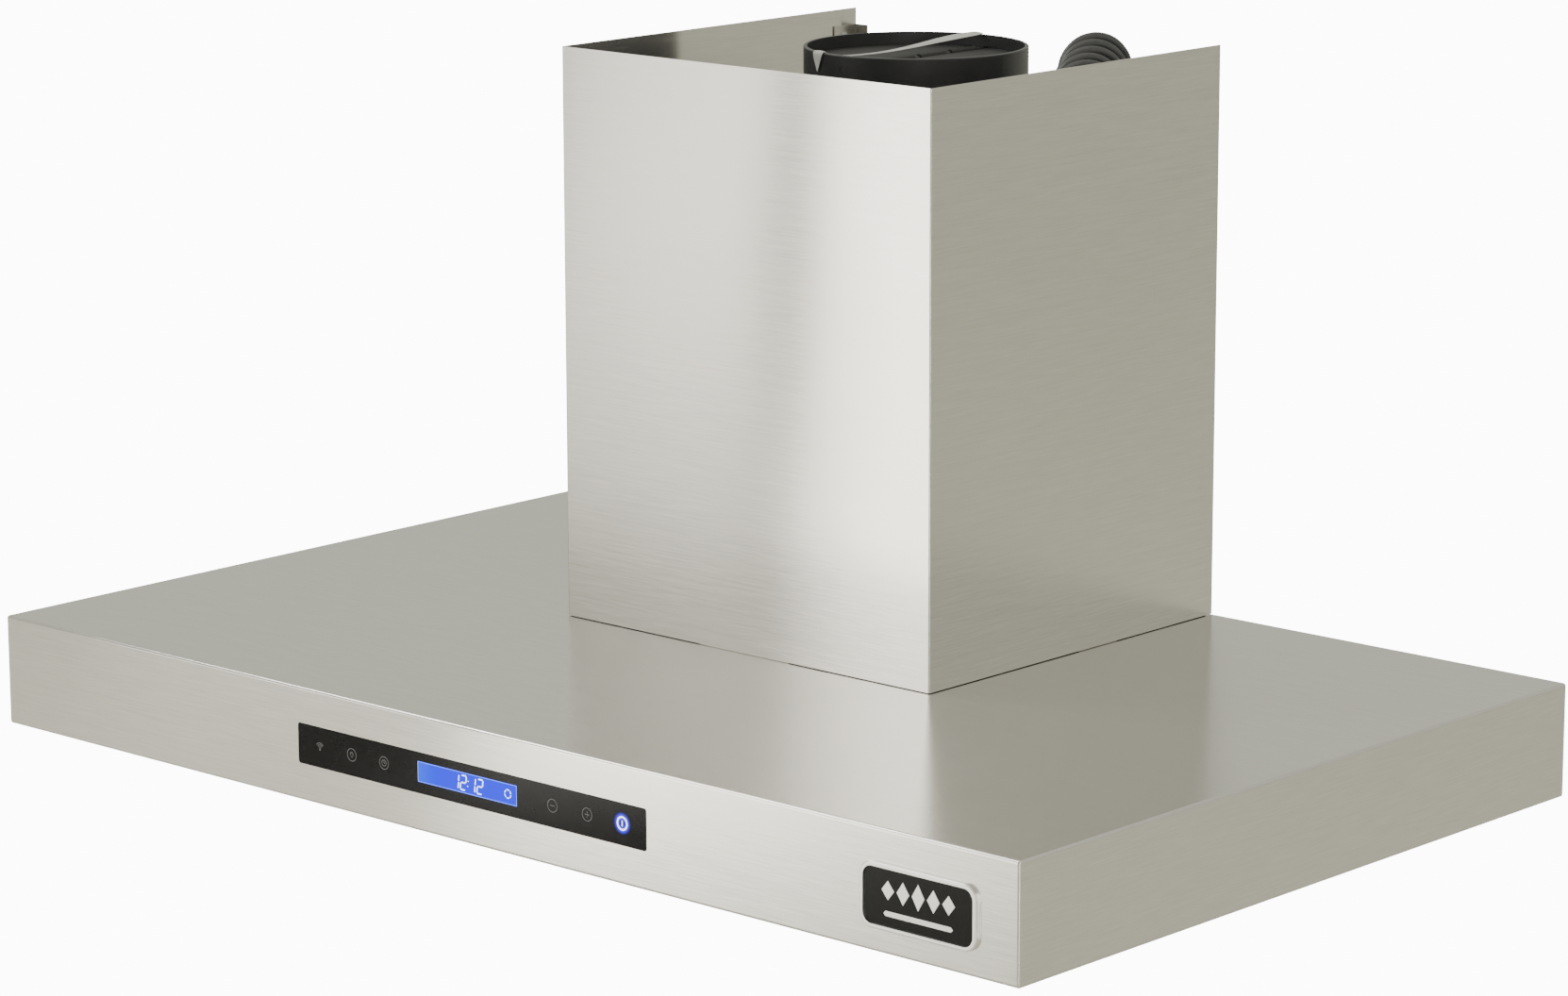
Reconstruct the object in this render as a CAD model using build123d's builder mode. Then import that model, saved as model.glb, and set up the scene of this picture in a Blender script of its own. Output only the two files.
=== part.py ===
"""Wall-mounted range hood: a flat canopy with a box chimney cover, a centrifugal
blower, three hinged baffle filters, two lamps, a touch control and a backdraft damper.

Units are millimetres. X runs to the right as seen from the front, the front faces -Y,
and Z is up. The origin lies on the wall plane, in the middle of the width, level with
the canopy's bottom edge.
"""

import os
from math import atan2, degrees, radians, sqrt, tan

from build123d import *

# Driving dimensions ---------------------------------------------------------

# Canopy
canopy_width = 900
canopy_depth = 550
canopy_height = 76
canopy_sheet = 1.0
bend_radius = 2.0
return_lip = 14

# Scroll blower: wheel, scroll and motor
wheel_radius = 85
wheel_side_gap = 6
blade_depth = 14
blade_count = 36
tongue_gap = 7
scroll_growth = 8
scroll_sheet = 1.0
throat_gap = 25
shaft_radius = 4
motor_radius = 42
motor_length = 82

# Blower housing and the plate that hangs the hood on the wall
housing_width = 280
housing_height = 316
housing_sheet = 1.0
housing_clear = 3
housing_lip = 12
base_flange = 10
wall_plate_sheet = 2.0
wall_plate_wing = 18
wall_hole_radius = 4
wall_hole_edge = 9
wall_hole_low = 40
wall_hole_pitch = 240

# Chimney cover
chimney_height = 389.5
chimney_sheet = 0.8
chimney_foot_gap = 0.5
side_well = 22.5
front_well = 53

# Duct collar and damper
collar_radius = 75.5
collar_wall = 2.5
collar_height = 71
collar_flange_margin = 9.5
collar_flange_sheet = 3
gasket_sheet = 1.0
damper_below_rim = 9
damper_sheet = 1.2
seat_width = 2.5
seat_thickness = 3
pin_radius = 1.5
knuckle_radius = 2.6
knuckle_length = 26
knuckle_pitch = 32
screw_hole_radius = 2.0

# Underside: liner, filters and lamps
liner_sheet = 1.0
liner_height = 30
liner_side = 30
liner_front = 38
liner_rear = 12
lamp_ledge = 64
hook_ledge = 48
bead_radius = 1.2
filter_count = 3
filter_gap = 2
filter_height = 12
filter_rim = 12
filter_sheet = 1.0
baffle_width = 26
baffle_pitch = 36
baffle_sheet = 0.8
baffle_leg = 6
handle_width = 64
handle_drop = 13
lamp_inset = 150
lamp_radius = 29
lamp_hole_radius = 25

# Control panel and badge on the front
glass_width = 312
glass_height = 27
glass_sheet = 3
glass_middle = 38.5
lcd_width = 96
lcd_height = 20
badge_width = 89.5
badge_height = 40.5
badge_inset = 74.7
badge_z = 35.4
badge_rim_width = 2.7

# Electronics in the chimney
control_box_width = 155
control_box_height = 125
control_box_depth = 41
control_box_right = 135
control_box_low = 114

# Power cord
cord_diameter = 7
hank_width = 65
hank_height = 87
hank_thickness = 38
hank_edge = 20
hank_behind = 40.5

# Clearances
running = 0.05
joint_gap = 0.3
slip = 0.3

# Derived places --------------------------------------------------------------

collar_bore = collar_radius - collar_wall
scroll_width = 2 * collar_radius
scroll_reach = wheel_radius + tongue_gap + 3 * scroll_growth
scroll_drop = scroll_reach - scroll_growth
outlet_front = collar_bore + 1
wheel_length = scroll_width - 2 * wheel_side_gap

housing_depth = 2 * (scroll_reach + housing_clear + housing_sheet)
housing_top = canopy_height + housing_height
housing_rear = -wall_plate_sheet
housing_front = housing_rear - housing_depth
blower_y = housing_rear - housing_depth / 2
wheel_z = canopy_height + throat_gap + scroll_sheet + scroll_drop
cover_front = housing_front - housing_sheet

chimney_width = housing_width + 2 * side_well
chimney_depth = wall_plate_sheet + housing_depth + front_well
chimney_low = canopy_height + chimney_foot_gap
chimney_top = chimney_low + chimney_height
chimney_inner = chimney_width / 2 - chimney_sheet

collar_low = housing_top + gasket_sheet
collar_top = collar_low + collar_height
collar_flange = 2 * (collar_radius + collar_flange_margin)
collar_screw_at = collar_flange / 2 - 7
pin_z = collar_top - damper_below_rim

liner_wall_x = canopy_width / 2 - liner_side
liner_wall_front = -canopy_depth + liner_front
liner_wall_rear = -liner_rear
opening_front = liner_wall_front + lamp_ledge
pivot_y = liner_wall_rear - hook_ledge
pivot_z = liner_height - liner_sheet / 2
hook_inner = bead_radius + joint_gap
filter_rear = pivot_y - hook_inner - 1.5
filter_front = opening_front + 1.5
filter_length = filter_rear - filter_front
filter_low = liner_height - filter_height
opening_width = 2 * (liner_wall_x - 26)
filter_width = (opening_width - (filter_count + 1) * filter_gap) / filter_count
lamp_y = (liner_wall_front + opening_front) / 2
front_inside = -canopy_depth + canopy_sheet
badge_x = canopy_width / 2 - badge_inset

cord_radius = cord_diameter / 2
# The hank stands near the housing's edge, and always beside the collar's flange.
hank_x = max(housing_width / 2 - hank_edge, collar_flange / 2 + hank_thickness / 2 + 1)
hank_y = blower_y + hank_behind

os.makedirs("parts", exist_ok=True)


def save(piece, name):
    """Label a finished piece and write its STEP file."""
    piece.part.label = name
    export_step(piece.part, f"parts/{name}.step")


def block(x, y, z, mode=Mode.ADD):
    """A box between two values along each axis, in the builder that is open."""
    sizes = [high - low for low, high in (x, y, z)]
    middles = [(high + low) / 2 for low, high in (x, y, z)]
    with Locations(tuple(middles)):
        Box(*sizes, mode=mode)


def pan_screw(length, head_radius=3.5, head_height=2.0, shank_radius=1.9):
    """Pan-head screw: the head stands on Z = 0 and the shank goes down from it."""
    with BuildPart() as screw:
        Cylinder(head_radius, head_height, align=(Align.CENTER, Align.CENTER, Align.MIN))
        fillet(screw.edges().group_by(Axis.Z)[-1], 0.8)
        Cylinder(shank_radius, length, align=(Align.CENTER, Align.CENTER, Align.MAX))
    return screw.part


# Canopy ----------------------------------------------------------------------

base_screw_y = [blower_y - housing_depth / 3, blower_y, blower_y + housing_depth / 3]
base_screw_x = housing_width / 2 + base_flange / 2
lip_middle = canopy_sheet + return_lip / 2 - 0.5
lip_screws = [
    (side * (canopy_width / 2 - lip_middle), -canopy_depth / 2 + row * canopy_depth / 3)
    for side in (-1, 1)
    for row in (-1, 0, 1)
]
lip_screws += [(side * canopy_width / 4, -canopy_depth + lip_middle) for side in (-1, 1)]
throat_width = housing_width - 2 * housing_lip
throat_depth = housing_depth - 2 * housing_lip

with BuildPart() as canopy_shell:
    block((-canopy_width / 2, canopy_width / 2), (-canopy_depth, 0), (0, canopy_height))
    # The rear edges stay square, so that the canopy lies flat against the wall.
    rear_edges = canopy_shell.faces().sort_by(Axis.Y)[-1].edges()
    fillet(canopy_shell.edges() - rear_edges, bend_radius)
    with BuildPart(mode=Mode.SUBTRACT) as canopy_inside:
        block(
            (canopy_sheet - canopy_width / 2, canopy_width / 2 - canopy_sheet),
            (canopy_sheet - canopy_depth, -canopy_sheet),
            (canopy_sheet, canopy_height - canopy_sheet),
        )
        inner_rear_edges = canopy_inside.faces().sort_by(Axis.Y)[-1].edges()
        fillet(canopy_inside.edges() - inner_rear_edges, bend_radius - canopy_sheet)
    # The bottom is open inside the return lip.
    block(
        (canopy_sheet + return_lip - canopy_width / 2, canopy_width / 2 - canopy_sheet - return_lip),
        (canopy_sheet + return_lip - canopy_depth, -canopy_sheet - return_lip),
        (-1, canopy_sheet + 1),
        Mode.SUBTRACT,
    )
    # The blower draws through the throat in the top.
    with BuildSketch(Plane.XY.offset(canopy_height)):
        with Locations((0, blower_y)):
            Rectangle(throat_width, throat_depth)
        with Locations(*[(s * base_screw_x, y) for s in (-1, 1) for y in base_screw_y]):
            Circle(screw_hole_radius)
    extrude(amount=-5, mode=Mode.SUBTRACT)
    # The control glass lies flush in the front.
    with BuildSketch(Plane.XZ.offset(canopy_depth)):
        with Locations((0, glass_middle)):
            RectangleRounded(glass_width, glass_height, 2)
    extrude(amount=-5, mode=Mode.SUBTRACT)
    with BuildSketch(Plane.XY):
        with Locations(*lip_screws):
            Circle(screw_hole_radius)
    extrude(amount=canopy_sheet, mode=Mode.SUBTRACT)
save(canopy_shell, "canopy_shell")

# Liner and its screws ---------------------------------------------------------

with BuildPart() as intake_liner:
    # Flange on the canopy's return lip
    with BuildSketch(Plane.XY.offset(canopy_sheet)):
        with Locations((0, -canopy_depth / 2)):
            Rectangle(
                canopy_width - 2 * bend_radius - 2 * slip,
                canopy_depth - 2 * bend_radius - 2 * slip,
            )
        with Locations((0, (liner_wall_front + liner_wall_rear) / 2)):
            Rectangle(
                2 * (liner_wall_x - liner_sheet),
                liner_wall_rear - liner_wall_front - 2 * liner_sheet,
                mode=Mode.SUBTRACT,
            )
        with Locations(*lip_screws):
            Circle(1.7, mode=Mode.SUBTRACT)
    extrude(amount=liner_sheet)
    # Four walls up to the panel
    with BuildSketch(Plane.XY.offset(canopy_sheet)):
        with Locations((0, (liner_wall_front + liner_wall_rear) / 2)):
            Rectangle(2 * liner_wall_x, liner_wall_rear - liner_wall_front)
            Rectangle(
                2 * (liner_wall_x - liner_sheet),
                liner_wall_rear - liner_wall_front - 2 * liner_sheet,
                mode=Mode.SUBTRACT,
            )
    extrude(amount=liner_height - canopy_sheet)
    # Panel with the filter opening and the lamp holes
    with BuildSketch(Plane.XY.offset(liner_height)):
        with Locations((0, (liner_wall_front + liner_wall_rear) / 2)):
            Rectangle(2 * liner_wall_x, liner_wall_rear - liner_wall_front)
        with Locations((0, (opening_front + pivot_y) / 2)):
            Rectangle(opening_width, pivot_y - opening_front, mode=Mode.SUBTRACT)
        with Locations(*[(s * (canopy_width / 2 - lamp_inset), lamp_y) for s in (-1, 1)]):
            Circle(lamp_hole_radius, mode=Mode.SUBTRACT)
    extrude(amount=-liner_sheet)
    # Rolled bead that the filter hooks hang on
    with Locations((0, pivot_y, pivot_z)):
        Cylinder(bead_radius, opening_width, rotation=(0, 90, 0))
    # Down-turned lip that the filter springs press on
    block(
        (-opening_width / 2, opening_width / 2),
        (opening_front - liner_sheet, opening_front),
        (liner_height - 10, liner_height),
    )
save(intake_liner, "intake_liner")

with BuildPart() as liner_screws:
    with Locations(*[(x, y, 0) for x, y in lip_screws]):
        Cylinder(1.9, canopy_sheet, align=(Align.CENTER, Align.CENTER, Align.MIN))
        Cylinder(1.6, 7, align=(Align.CENTER, Align.CENTER, Align.MIN))
save(liner_screws, "liner_screws")

# Wall plate, blower housing and cover --------------------------------------------

wall_hole_x = housing_width / 2 + wall_hole_edge
wall_holes = [
    (side * wall_hole_x, canopy_height + wall_hole_low + row * wall_hole_pitch)
    for side in (-1, 1)
    for row in (0, 1)
]
with BuildPart() as wall_plate:
    with BuildSketch(Plane.XZ):
        with Locations((0, canopy_height + housing_height / 2)):
            Rectangle(housing_width + 2 * wall_plate_wing, housing_height)
        with Locations(*wall_holes):
            Circle(wall_hole_radius, mode=Mode.SUBTRACT)
    extrude(amount=wall_plate_sheet)
save(wall_plate, "wall_plate")

cover_screw_x = housing_width / 2 - housing_lip / 2
cover_screws = [
    (x, z)
    for x in (-cover_screw_x, 0, cover_screw_x)
    for z in (canopy_height + housing_lip / 2 + 2, housing_top - housing_lip / 2)
]
half_housing = housing_width / 2

with BuildPart() as blower_housing:
    block((-half_housing, half_housing), (housing_front, housing_rear), (canopy_height, housing_top))
    block(
        (housing_sheet - half_housing, half_housing - housing_sheet),
        (housing_front + housing_sheet, housing_rear - housing_sheet),
        (canopy_height, housing_top - housing_sheet),
        Mode.SUBTRACT,
    )
    # Front opening inside a lip for the cover
    block(
        (housing_lip - half_housing, half_housing - housing_lip),
        (housing_front, housing_front + housing_sheet),
        (canopy_height + housing_lip, housing_top - housing_lip),
        Mode.SUBTRACT,
    )
    # Base flanges
    for side in (-1, 1):
        edges = sorted((side * half_housing, side * (half_housing + base_flange)))
        block(edges, (housing_front, housing_rear), (canopy_height, canopy_height + housing_sheet))
    with BuildSketch(Plane.XY.offset(housing_top)):
        with Locations((0, blower_y)):
            Circle(collar_bore)
    extrude(amount=-housing_sheet, mode=Mode.SUBTRACT)
    with BuildSketch(Plane.XY.offset(canopy_height)):
        with Locations(*[(s * base_screw_x, y) for s in (-1, 1) for y in base_screw_y]):
            Circle(screw_hole_radius)
    extrude(amount=housing_sheet, mode=Mode.SUBTRACT)
    with BuildSketch(Plane.XZ.offset(-housing_front)):
        with Locations(*cover_screws):
            Circle(screw_hole_radius)
    extrude(amount=-housing_sheet, mode=Mode.SUBTRACT)
    with BuildSketch(Plane.XY.offset(housing_top)):
        with Locations((0, blower_y)):
            with GridLocations(2 * collar_screw_at, 2 * collar_screw_at, 2, 2):
                Circle(screw_hole_radius)
    extrude(amount=-housing_sheet, mode=Mode.SUBTRACT)
save(blower_housing, "blower_housing")

with BuildPart() as housing_cover:
    with BuildSketch(Plane.XZ.offset(-housing_front)):
        with Locations((0, (canopy_height + 2 + housing_top) / 2)):
            Rectangle(housing_width, housing_height - 2)
        with Locations(*cover_screws):
            Circle(screw_hole_radius, mode=Mode.SUBTRACT)
    extrude(amount=housing_sheet)
save(housing_cover, "housing_cover")

with BuildPart() as blower_screws:
    for side in (-1, 1):
        for y in base_screw_y:
            with Locations((side * base_screw_x, y, canopy_height + housing_sheet)):
                add(pan_screw(8))
    for x, z in cover_screws:
        with Locations(Location((x, cover_front, z), (90, 0, 0))):
            add(pan_screw(8))
save(blower_screws, "blower_screws")

# Scroll, wheel and motor -----------------------------------------------------------


def scroll_outline(grow):
    """Outline of the scroll and its outlet on the YZ plane, grow outside the air side."""
    half = scroll_growth / 2
    first = scroll_reach - half + grow
    third = first - 2 * scroll_growth
    front = -outlet_front - grow
    rise = sqrt(third**2 - (front + half) ** 2)
    tongue = degrees(atan2(rise, front + half))
    outlet_top = housing_top - housing_sheet
    with BuildSketch(Plane.YZ) as outline:
        with BuildLine():
            CenterArc((blower_y + half, wheel_z + half), first, 0, -90)
            CenterArc((blower_y + half, wheel_z - half), first - scroll_growth, -90, -90)
            CenterArc((blower_y - half, wheel_z - half), third, 180, tongue - 180)
            Polyline(
                (blower_y + front, wheel_z - half + rise),
                (blower_y + front, outlet_top),
                (blower_y + scroll_reach + grow, outlet_top),
                (blower_y + scroll_reach + grow, wheel_z + half),
            )
        make_face()
    return outline.sketch


with BuildPart() as scroll_wrap:
    extrude(scroll_outline(scroll_sheet), amount=scroll_width / 2, both=True)
    extrude(scroll_outline(0), amount=scroll_width / 2, both=True, mode=Mode.SUBTRACT)
save(scroll_wrap, "scroll_wrap")

inlet_radius = wheel_radius - blade_depth + 5
outlet_top = housing_top - housing_sheet


def scroll_side(side):
    """Side plate of the scroll with its inlet hole and the flange under the housing top."""
    face = side * scroll_width / 2
    outer = face + side * scroll_sheet
    with BuildPart() as plate:
        extrude(scroll_outline(scroll_sheet), amount=side * scroll_sheet, dir=(1, 0, 0))
        with Locations((0, blower_y, wheel_z)):
            Cylinder(inlet_radius, 20, rotation=(0, 90, 0), mode=Mode.SUBTRACT)
    moved = plate.part.moved(Location((face, 0, 0)))
    with BuildPart() as finished:
        add(moved)
        block(
            sorted((outer, outer + side * 14)),
            (blower_y - outlet_front, blower_y + scroll_reach),
            (outlet_top - scroll_sheet, outlet_top),
        )
        # Two of the collar's screws go through the flange, past the side plate.
        with Locations((side * collar_screw_at, blower_y + collar_screw_at, outlet_top)):
            Cylinder(screw_hole_radius, 14, mode=Mode.SUBTRACT)
    return finished


save(scroll_side(-1), "scroll_side_left")
save(scroll_side(1), "scroll_side_right")

blade_ring = wheel_radius - blade_depth / 2
with BuildPart() as impeller:
    with Locations((0, blower_y, wheel_z)):
        Cylinder(wheel_radius, 2, rotation=(0, 90, 0))
        Cylinder(12, 20, rotation=(0, 90, 0))
    for side in (-1, 1):
        with BuildSketch(Plane.YZ.offset(side * wheel_length / 2)):
            with Locations((blower_y, wheel_z)):
                Circle(wheel_radius)
                Circle(wheel_radius - blade_depth, mode=Mode.SUBTRACT)
        extrude(amount=-side * 2)
    with BuildSketch(Plane.YZ):
        with Locations((blower_y, wheel_z)):
            with PolarLocations(blade_ring, blade_count):
                Rectangle(blade_depth - 2, 1.2, rotation=30)
    extrude(amount=wheel_length / 2 - 1, both=True)
    with Locations((0, blower_y, wheel_z)):
        Cylinder(shaft_radius + 0.02, 30, rotation=(0, 90, 0), mode=Mode.SUBTRACT)
save(impeller, "impeller")

motor_near = 14
motor_far = motor_near + motor_length
with BuildPart() as motor_can:
    with Locations((motor_near + motor_length / 2, blower_y, wheel_z)):
        Cylinder(motor_radius, motor_length, rotation=(0, 90, 0))
    fillet(motor_can.edges().filter_by(GeomType.CIRCLE), 4)
    with Locations((motor_near + motor_length / 2, blower_y, wheel_z)):
        Cylinder(shaft_radius + running, motor_length + 2, rotation=(0, 90, 0), mode=Mode.SUBTRACT)
save(motor_can, "motor_can")

with BuildPart() as impeller_shaft:
    with Locations(((motor_far + 5 - 16) / 2, blower_y, wheel_z)):
        Cylinder(shaft_radius, motor_far + 5 + 16, rotation=(0, 90, 0))
save(impeller_shaft, "impeller_shaft")

bracket_x = scroll_width / 2 + scroll_sheet
with BuildPart() as motor_bracket:
    with BuildSketch(Plane.YZ.offset(bracket_x)):
        with Locations((blower_y, wheel_z)):
            Circle(motor_radius + 8)
            with PolarLocations((motor_radius + wheel_radius + 6) / 2, 3, start_angle=90):
                Rectangle(wheel_radius + 6 - motor_radius, 14)
            Circle(motor_radius, mode=Mode.SUBTRACT)
    extrude(amount=3)
save(motor_bracket, "motor_bracket")

# Duct collar and damper --------------------------------------------------------------

with BuildPart() as collar_gasket:
    with BuildSketch(Plane.XY.offset(housing_top)):
        with Locations((0, blower_y)):
            RectangleRounded(collar_flange, collar_flange, 6)
            Circle(collar_bore, mode=Mode.SUBTRACT)
            with GridLocations(2 * collar_screw_at, 2 * collar_screw_at, 2, 2):
                Circle(screw_hole_radius, mode=Mode.SUBTRACT)
    extrude(amount=gasket_sheet)
save(collar_gasket, "collar_gasket")

# The damper's pin goes through the collar's wall on both sides.
pin_bore = Location((0, blower_y, pin_z)) * Cylinder(
    pin_radius + running, 2 * collar_radius + 2, rotation=(90, 0, 0)
)
with BuildPart() as duct_collar:
    with BuildSketch(Plane.XY.offset(collar_low)):
        with Locations((0, blower_y)):
            RectangleRounded(collar_flange, collar_flange, 6)
            with GridLocations(2 * collar_screw_at, 2 * collar_screw_at, 2, 2):
                Circle(screw_hole_radius, mode=Mode.SUBTRACT)
    extrude(amount=collar_flange_sheet)
    with BuildSketch(Plane.XY.offset(collar_low)):
        with Locations((0, blower_y)):
            Circle(collar_radius)
    extrude(amount=collar_height)
    rim_edges = duct_collar.edges().group_by(Axis.Z)[-1]
    fillet(rim_edges, 0.8)
    with BuildSketch(Plane.XY.offset(collar_low)):
        with Locations((0, blower_y)):
            Circle(collar_bore)
    extrude(amount=collar_height, mode=Mode.SUBTRACT)
    add(pin_bore, mode=Mode.SUBTRACT)
save(duct_collar, "duct_collar")

# Rubber ring bonded inside the collar: the closed flaps rest on it.
seat_top = pin_z - damper_sheet / 2 - joint_gap
with BuildPart() as damper_seat:
    with BuildSketch(Plane.XY.offset(seat_top)):
        with Locations((0, blower_y)):
            Circle(collar_bore)
            Circle(collar_bore - seat_width, mode=Mode.SUBTRACT)
    extrude(amount=-seat_thickness)
    add(pin_bore, mode=Mode.SUBTRACT)
save(damper_seat, "damper_seat")

with BuildPart() as collar_screws:
    with Locations((0, blower_y, collar_low + collar_flange_sheet)):
        with GridLocations(2 * collar_screw_at, 2 * collar_screw_at, 2, 2):
            add(pan_screw(10))
save(collar_screws, "collar_screws")

with BuildPart() as damper_pin:
    with Locations((0, blower_y, pin_z)):
        Cylinder(pin_radius, 2 * collar_radius - 1, rotation=(90, 0, 0))
save(damper_pin, "damper_pin")

flap_radius = collar_bore - 1
flap_edge = knuckle_radius + 0.8


def damper_flap(side):
    """Half-round flap with two knuckles on the pin; side 1 is the right flap."""
    knuckles = [side * -1.5 * knuckle_pitch, side * 0.5 * knuckle_pitch]
    with BuildPart() as flap:
        with BuildSketch(Plane.XY.offset(pin_z - damper_sheet / 2)):
            with Locations((0, blower_y)):
                Circle(flap_radius)
            with Locations((side * (flap_edge - 100), blower_y)):
                Rectangle(200, 200, mode=Mode.SUBTRACT)
        extrude(amount=damper_sheet)
        with Locations(*[(0, blower_y + y, pin_z) for y in knuckles]):
            Cylinder(knuckle_radius, knuckle_length, rotation=(90, 0, 0))
        for y in knuckles:
            block(
                sorted((0, side * (flap_edge + 1))),
                (blower_y + y - knuckle_length / 2, blower_y + y + knuckle_length / 2),
                (pin_z - damper_sheet / 2, pin_z + damper_sheet / 2),
            )
        with Locations((0, blower_y, pin_z)):
            Cylinder(
                pin_radius + running, 2 * collar_radius, rotation=(90, 0, 0), mode=Mode.SUBTRACT
            )
    return flap


save(damper_flap(-1), "damper_left")
save(damper_flap(1), "damper_right")

# Chimney cover and its fixings ---------------------------------------------------------

with BuildPart() as chimney_cover:
    with BuildSketch(Plane.XY.offset(chimney_low)):
        with Locations((0, -chimney_depth / 2)):
            Rectangle(chimney_width, chimney_depth)
    extrude(amount=chimney_height)
    front_bends = chimney_cover.edges().filter_by(Axis.Z).group_by(Axis.Y)[0]
    fillet(front_bends, 1.2)
    with BuildPart(mode=Mode.SUBTRACT) as chimney_inside:
        block(
            (-chimney_inner, chimney_inner),
            (chimney_sheet - chimney_depth, 10),
            (chimney_low - 1, chimney_top + 1),
        )
        inner_bends = chimney_inside.edges().filter_by(Axis.Z).group_by(Axis.Y)[0]
        fillet(inner_bends, 0.4)
save(chimney_cover, "chimney_cover")

bracket_low = chimney_top - 26
bracket_high = chimney_top - 11.5
bracket_leg = 12
with BuildPart() as chimney_brackets:
    for side in (-1, 1):
        block(
            sorted((side * chimney_inner, side * (chimney_inner - 1))),
            (-24, -1),
            (bracket_low, bracket_high),
        )
        block(
            sorted((side * chimney_inner, side * (chimney_inner - bracket_leg))),
            (-2, -1),
            (bracket_low, bracket_high),
        )
save(chimney_brackets, "chimney_brackets")

with BuildPart() as chimney_rivets:
    for side in (-1, 1):
        place = (side * (chimney_inner - 1), -14.5, (bracket_low + bracket_high) / 2)
        with Locations(Location(place, (0, -90 * side, 0))):
            Cylinder(3, 1.5, align=(Align.CENTER, Align.CENTER, Align.MIN))
save(chimney_rivets, "chimney_rivets")

clip_length = 40
clip_leg = 12
with BuildPart() as chimney_clips:
    for side in (-1, 1):
        outer = chimney_inner - joint_gap
        block(
            sorted((side * outer, side * (outer - 1))),
            (blower_y - clip_length / 2, blower_y + clip_length / 2),
            (canopy_height, canopy_height + 14),
        )
    outer = chimney_depth - chimney_sheet - joint_gap
    block((-clip_length, clip_length), (-outer, 1 - outer), (canopy_height, canopy_height + 14))
    block(
        (-clip_length, clip_length),
        (1 - outer, clip_leg - outer),
        (canopy_height, canopy_height + 1),
    )
    for side in (-1, 1):
        block(
            sorted((side * (chimney_inner - joint_gap - 1), side * (half_housing + base_flange + 0.5))),
            (blower_y - clip_length / 2, blower_y + clip_length / 2),
            (canopy_height, canopy_height + 1),
        )
save(chimney_clips, "chimney_clips")

# Control electronics in the chimney ------------------------------------------------------

box_left = control_box_right - control_box_width
box_low = canopy_height + control_box_low
box_high = box_low + control_box_height
box_front = cover_front - control_box_depth
with BuildPart() as control_box:
    block((box_left, control_box_right), (box_front, cover_front), (box_low, box_high))
    block(
        (box_left + 1, control_box_right - 1),
        (box_front, cover_front - 1),
        (box_low + 1, box_high - 1),
        Mode.SUBTRACT,
    )
save(control_box, "control_box")

with BuildPart() as control_box_lid:
    block((box_left, control_box_right), (box_front - 1, box_front), (box_low, box_high))
save(control_box_lid, "control_box_lid")

board_back = cover_front - 1 - 5
board_front = board_back - 1.6
with BuildPart() as power_board:
    block((box_left + 8, control_box_right - 8), (board_front, board_back), (box_low + 8, box_high - 8))
    for x in (box_left + 14, control_box_right - 14):
        for z in (box_low + 14, box_high - 14):
            with Locations(Location((x, board_back, z), (-90, 0, 0))):
                Cylinder(3, 5, align=(Align.CENTER, Align.CENTER, Align.MIN))
save(power_board, "power_board")

with BuildPart() as terminal_block:
    block((control_box_right - 50, control_box_right - 12), (board_front - 14, board_front), (box_high - 34, box_high - 18))
    with BuildSketch(Plane.XZ.offset(-(board_front - 14))):
        with Locations((control_box_right - 31, box_high - 26)):
            with GridLocations(12, 1, 3, 1):
                Circle(2.5)
    extrude(amount=-6, mode=Mode.SUBTRACT)
save(terminal_block, "terminal_block")

capacitor_radius = 14
with BuildPart() as motor_capacitor:
    with Locations((box_left + 30, board_front - capacitor_radius, box_low + 45)):
        Cylinder(capacitor_radius, 50)
    fillet(motor_capacitor.edges().filter_by(GeomType.CIRCLE), 2)
save(motor_capacitor, "motor_capacitor")

# Filters -----------------------------------------------------------------------------------


def filter_frame(x):
    """Channel frame with two rear hooks that hang on the liner's bead."""
    left = x - filter_width / 2
    right = x + filter_width / 2
    with BuildPart() as frame:
        block((left, right), (filter_front, filter_rear), (filter_low, liner_height))
        block(
            (left + filter_sheet, right - filter_sheet),
            (filter_front + filter_sheet, filter_rear - filter_sheet),
            (filter_low + filter_sheet, liner_height - filter_sheet),
            Mode.SUBTRACT,
        )
        block(
            (left + filter_rim, right - filter_rim),
            (filter_front + filter_rim, filter_rear - filter_rim),
            (filter_low - 1, liner_height + 1),
            Mode.SUBTRACT,
        )
        for offset in (-filter_width / 3, filter_width / 3):
            with BuildSketch(Plane.YZ.offset(x + offset - 10)):
                with Locations((pivot_y, pivot_z)):
                    Circle(hook_inner + 1)
                    Circle(hook_inner, mode=Mode.SUBTRACT)
                    # The hook stays open below and behind the bead.
                    with Locations((5, -5)):
                        Rectangle(10.2, 10.2, mode=Mode.SUBTRACT)
                    with Locations((5, 0)):
                        Rectangle(10, 2.4, mode=Mode.SUBTRACT)
                with Locations((pivot_y - hook_inner - 0.8, pivot_z - 2)):
                    Rectangle(1.6, 4)
            extrude(amount=20)
    return frame


def filter_baffles(x):
    """Two layers of channels that face each other: air turns twice between them."""
    length = (filter_front + filter_sheet + 0.2, filter_rear - filter_sheet - 0.2)
    floor = filter_low + filter_sheet
    roof = liner_height - filter_sheet
    usable = filter_width - 2 * filter_sheet - baffle_width
    count = int(usable // baffle_pitch) + 1
    half = baffle_width / 2
    with BuildPart() as baffles:
        for layer, number in ((0, count), (1, count - 1)):
            for k in range(number):
                middle = x + (k - (number - 1) / 2) * baffle_pitch
                if layer == 0:
                    base = (floor, floor + baffle_sheet)
                    leg = (floor, floor + baffle_leg)
                else:
                    base = (roof - baffle_sheet, roof)
                    leg = (roof - baffle_leg, roof)
                block((middle - half, middle + half), length, base)
                block((middle - half, middle - half + baffle_sheet), length, leg)
                block((middle + half - baffle_sheet, middle + half), length, leg)
    return baffles


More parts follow.
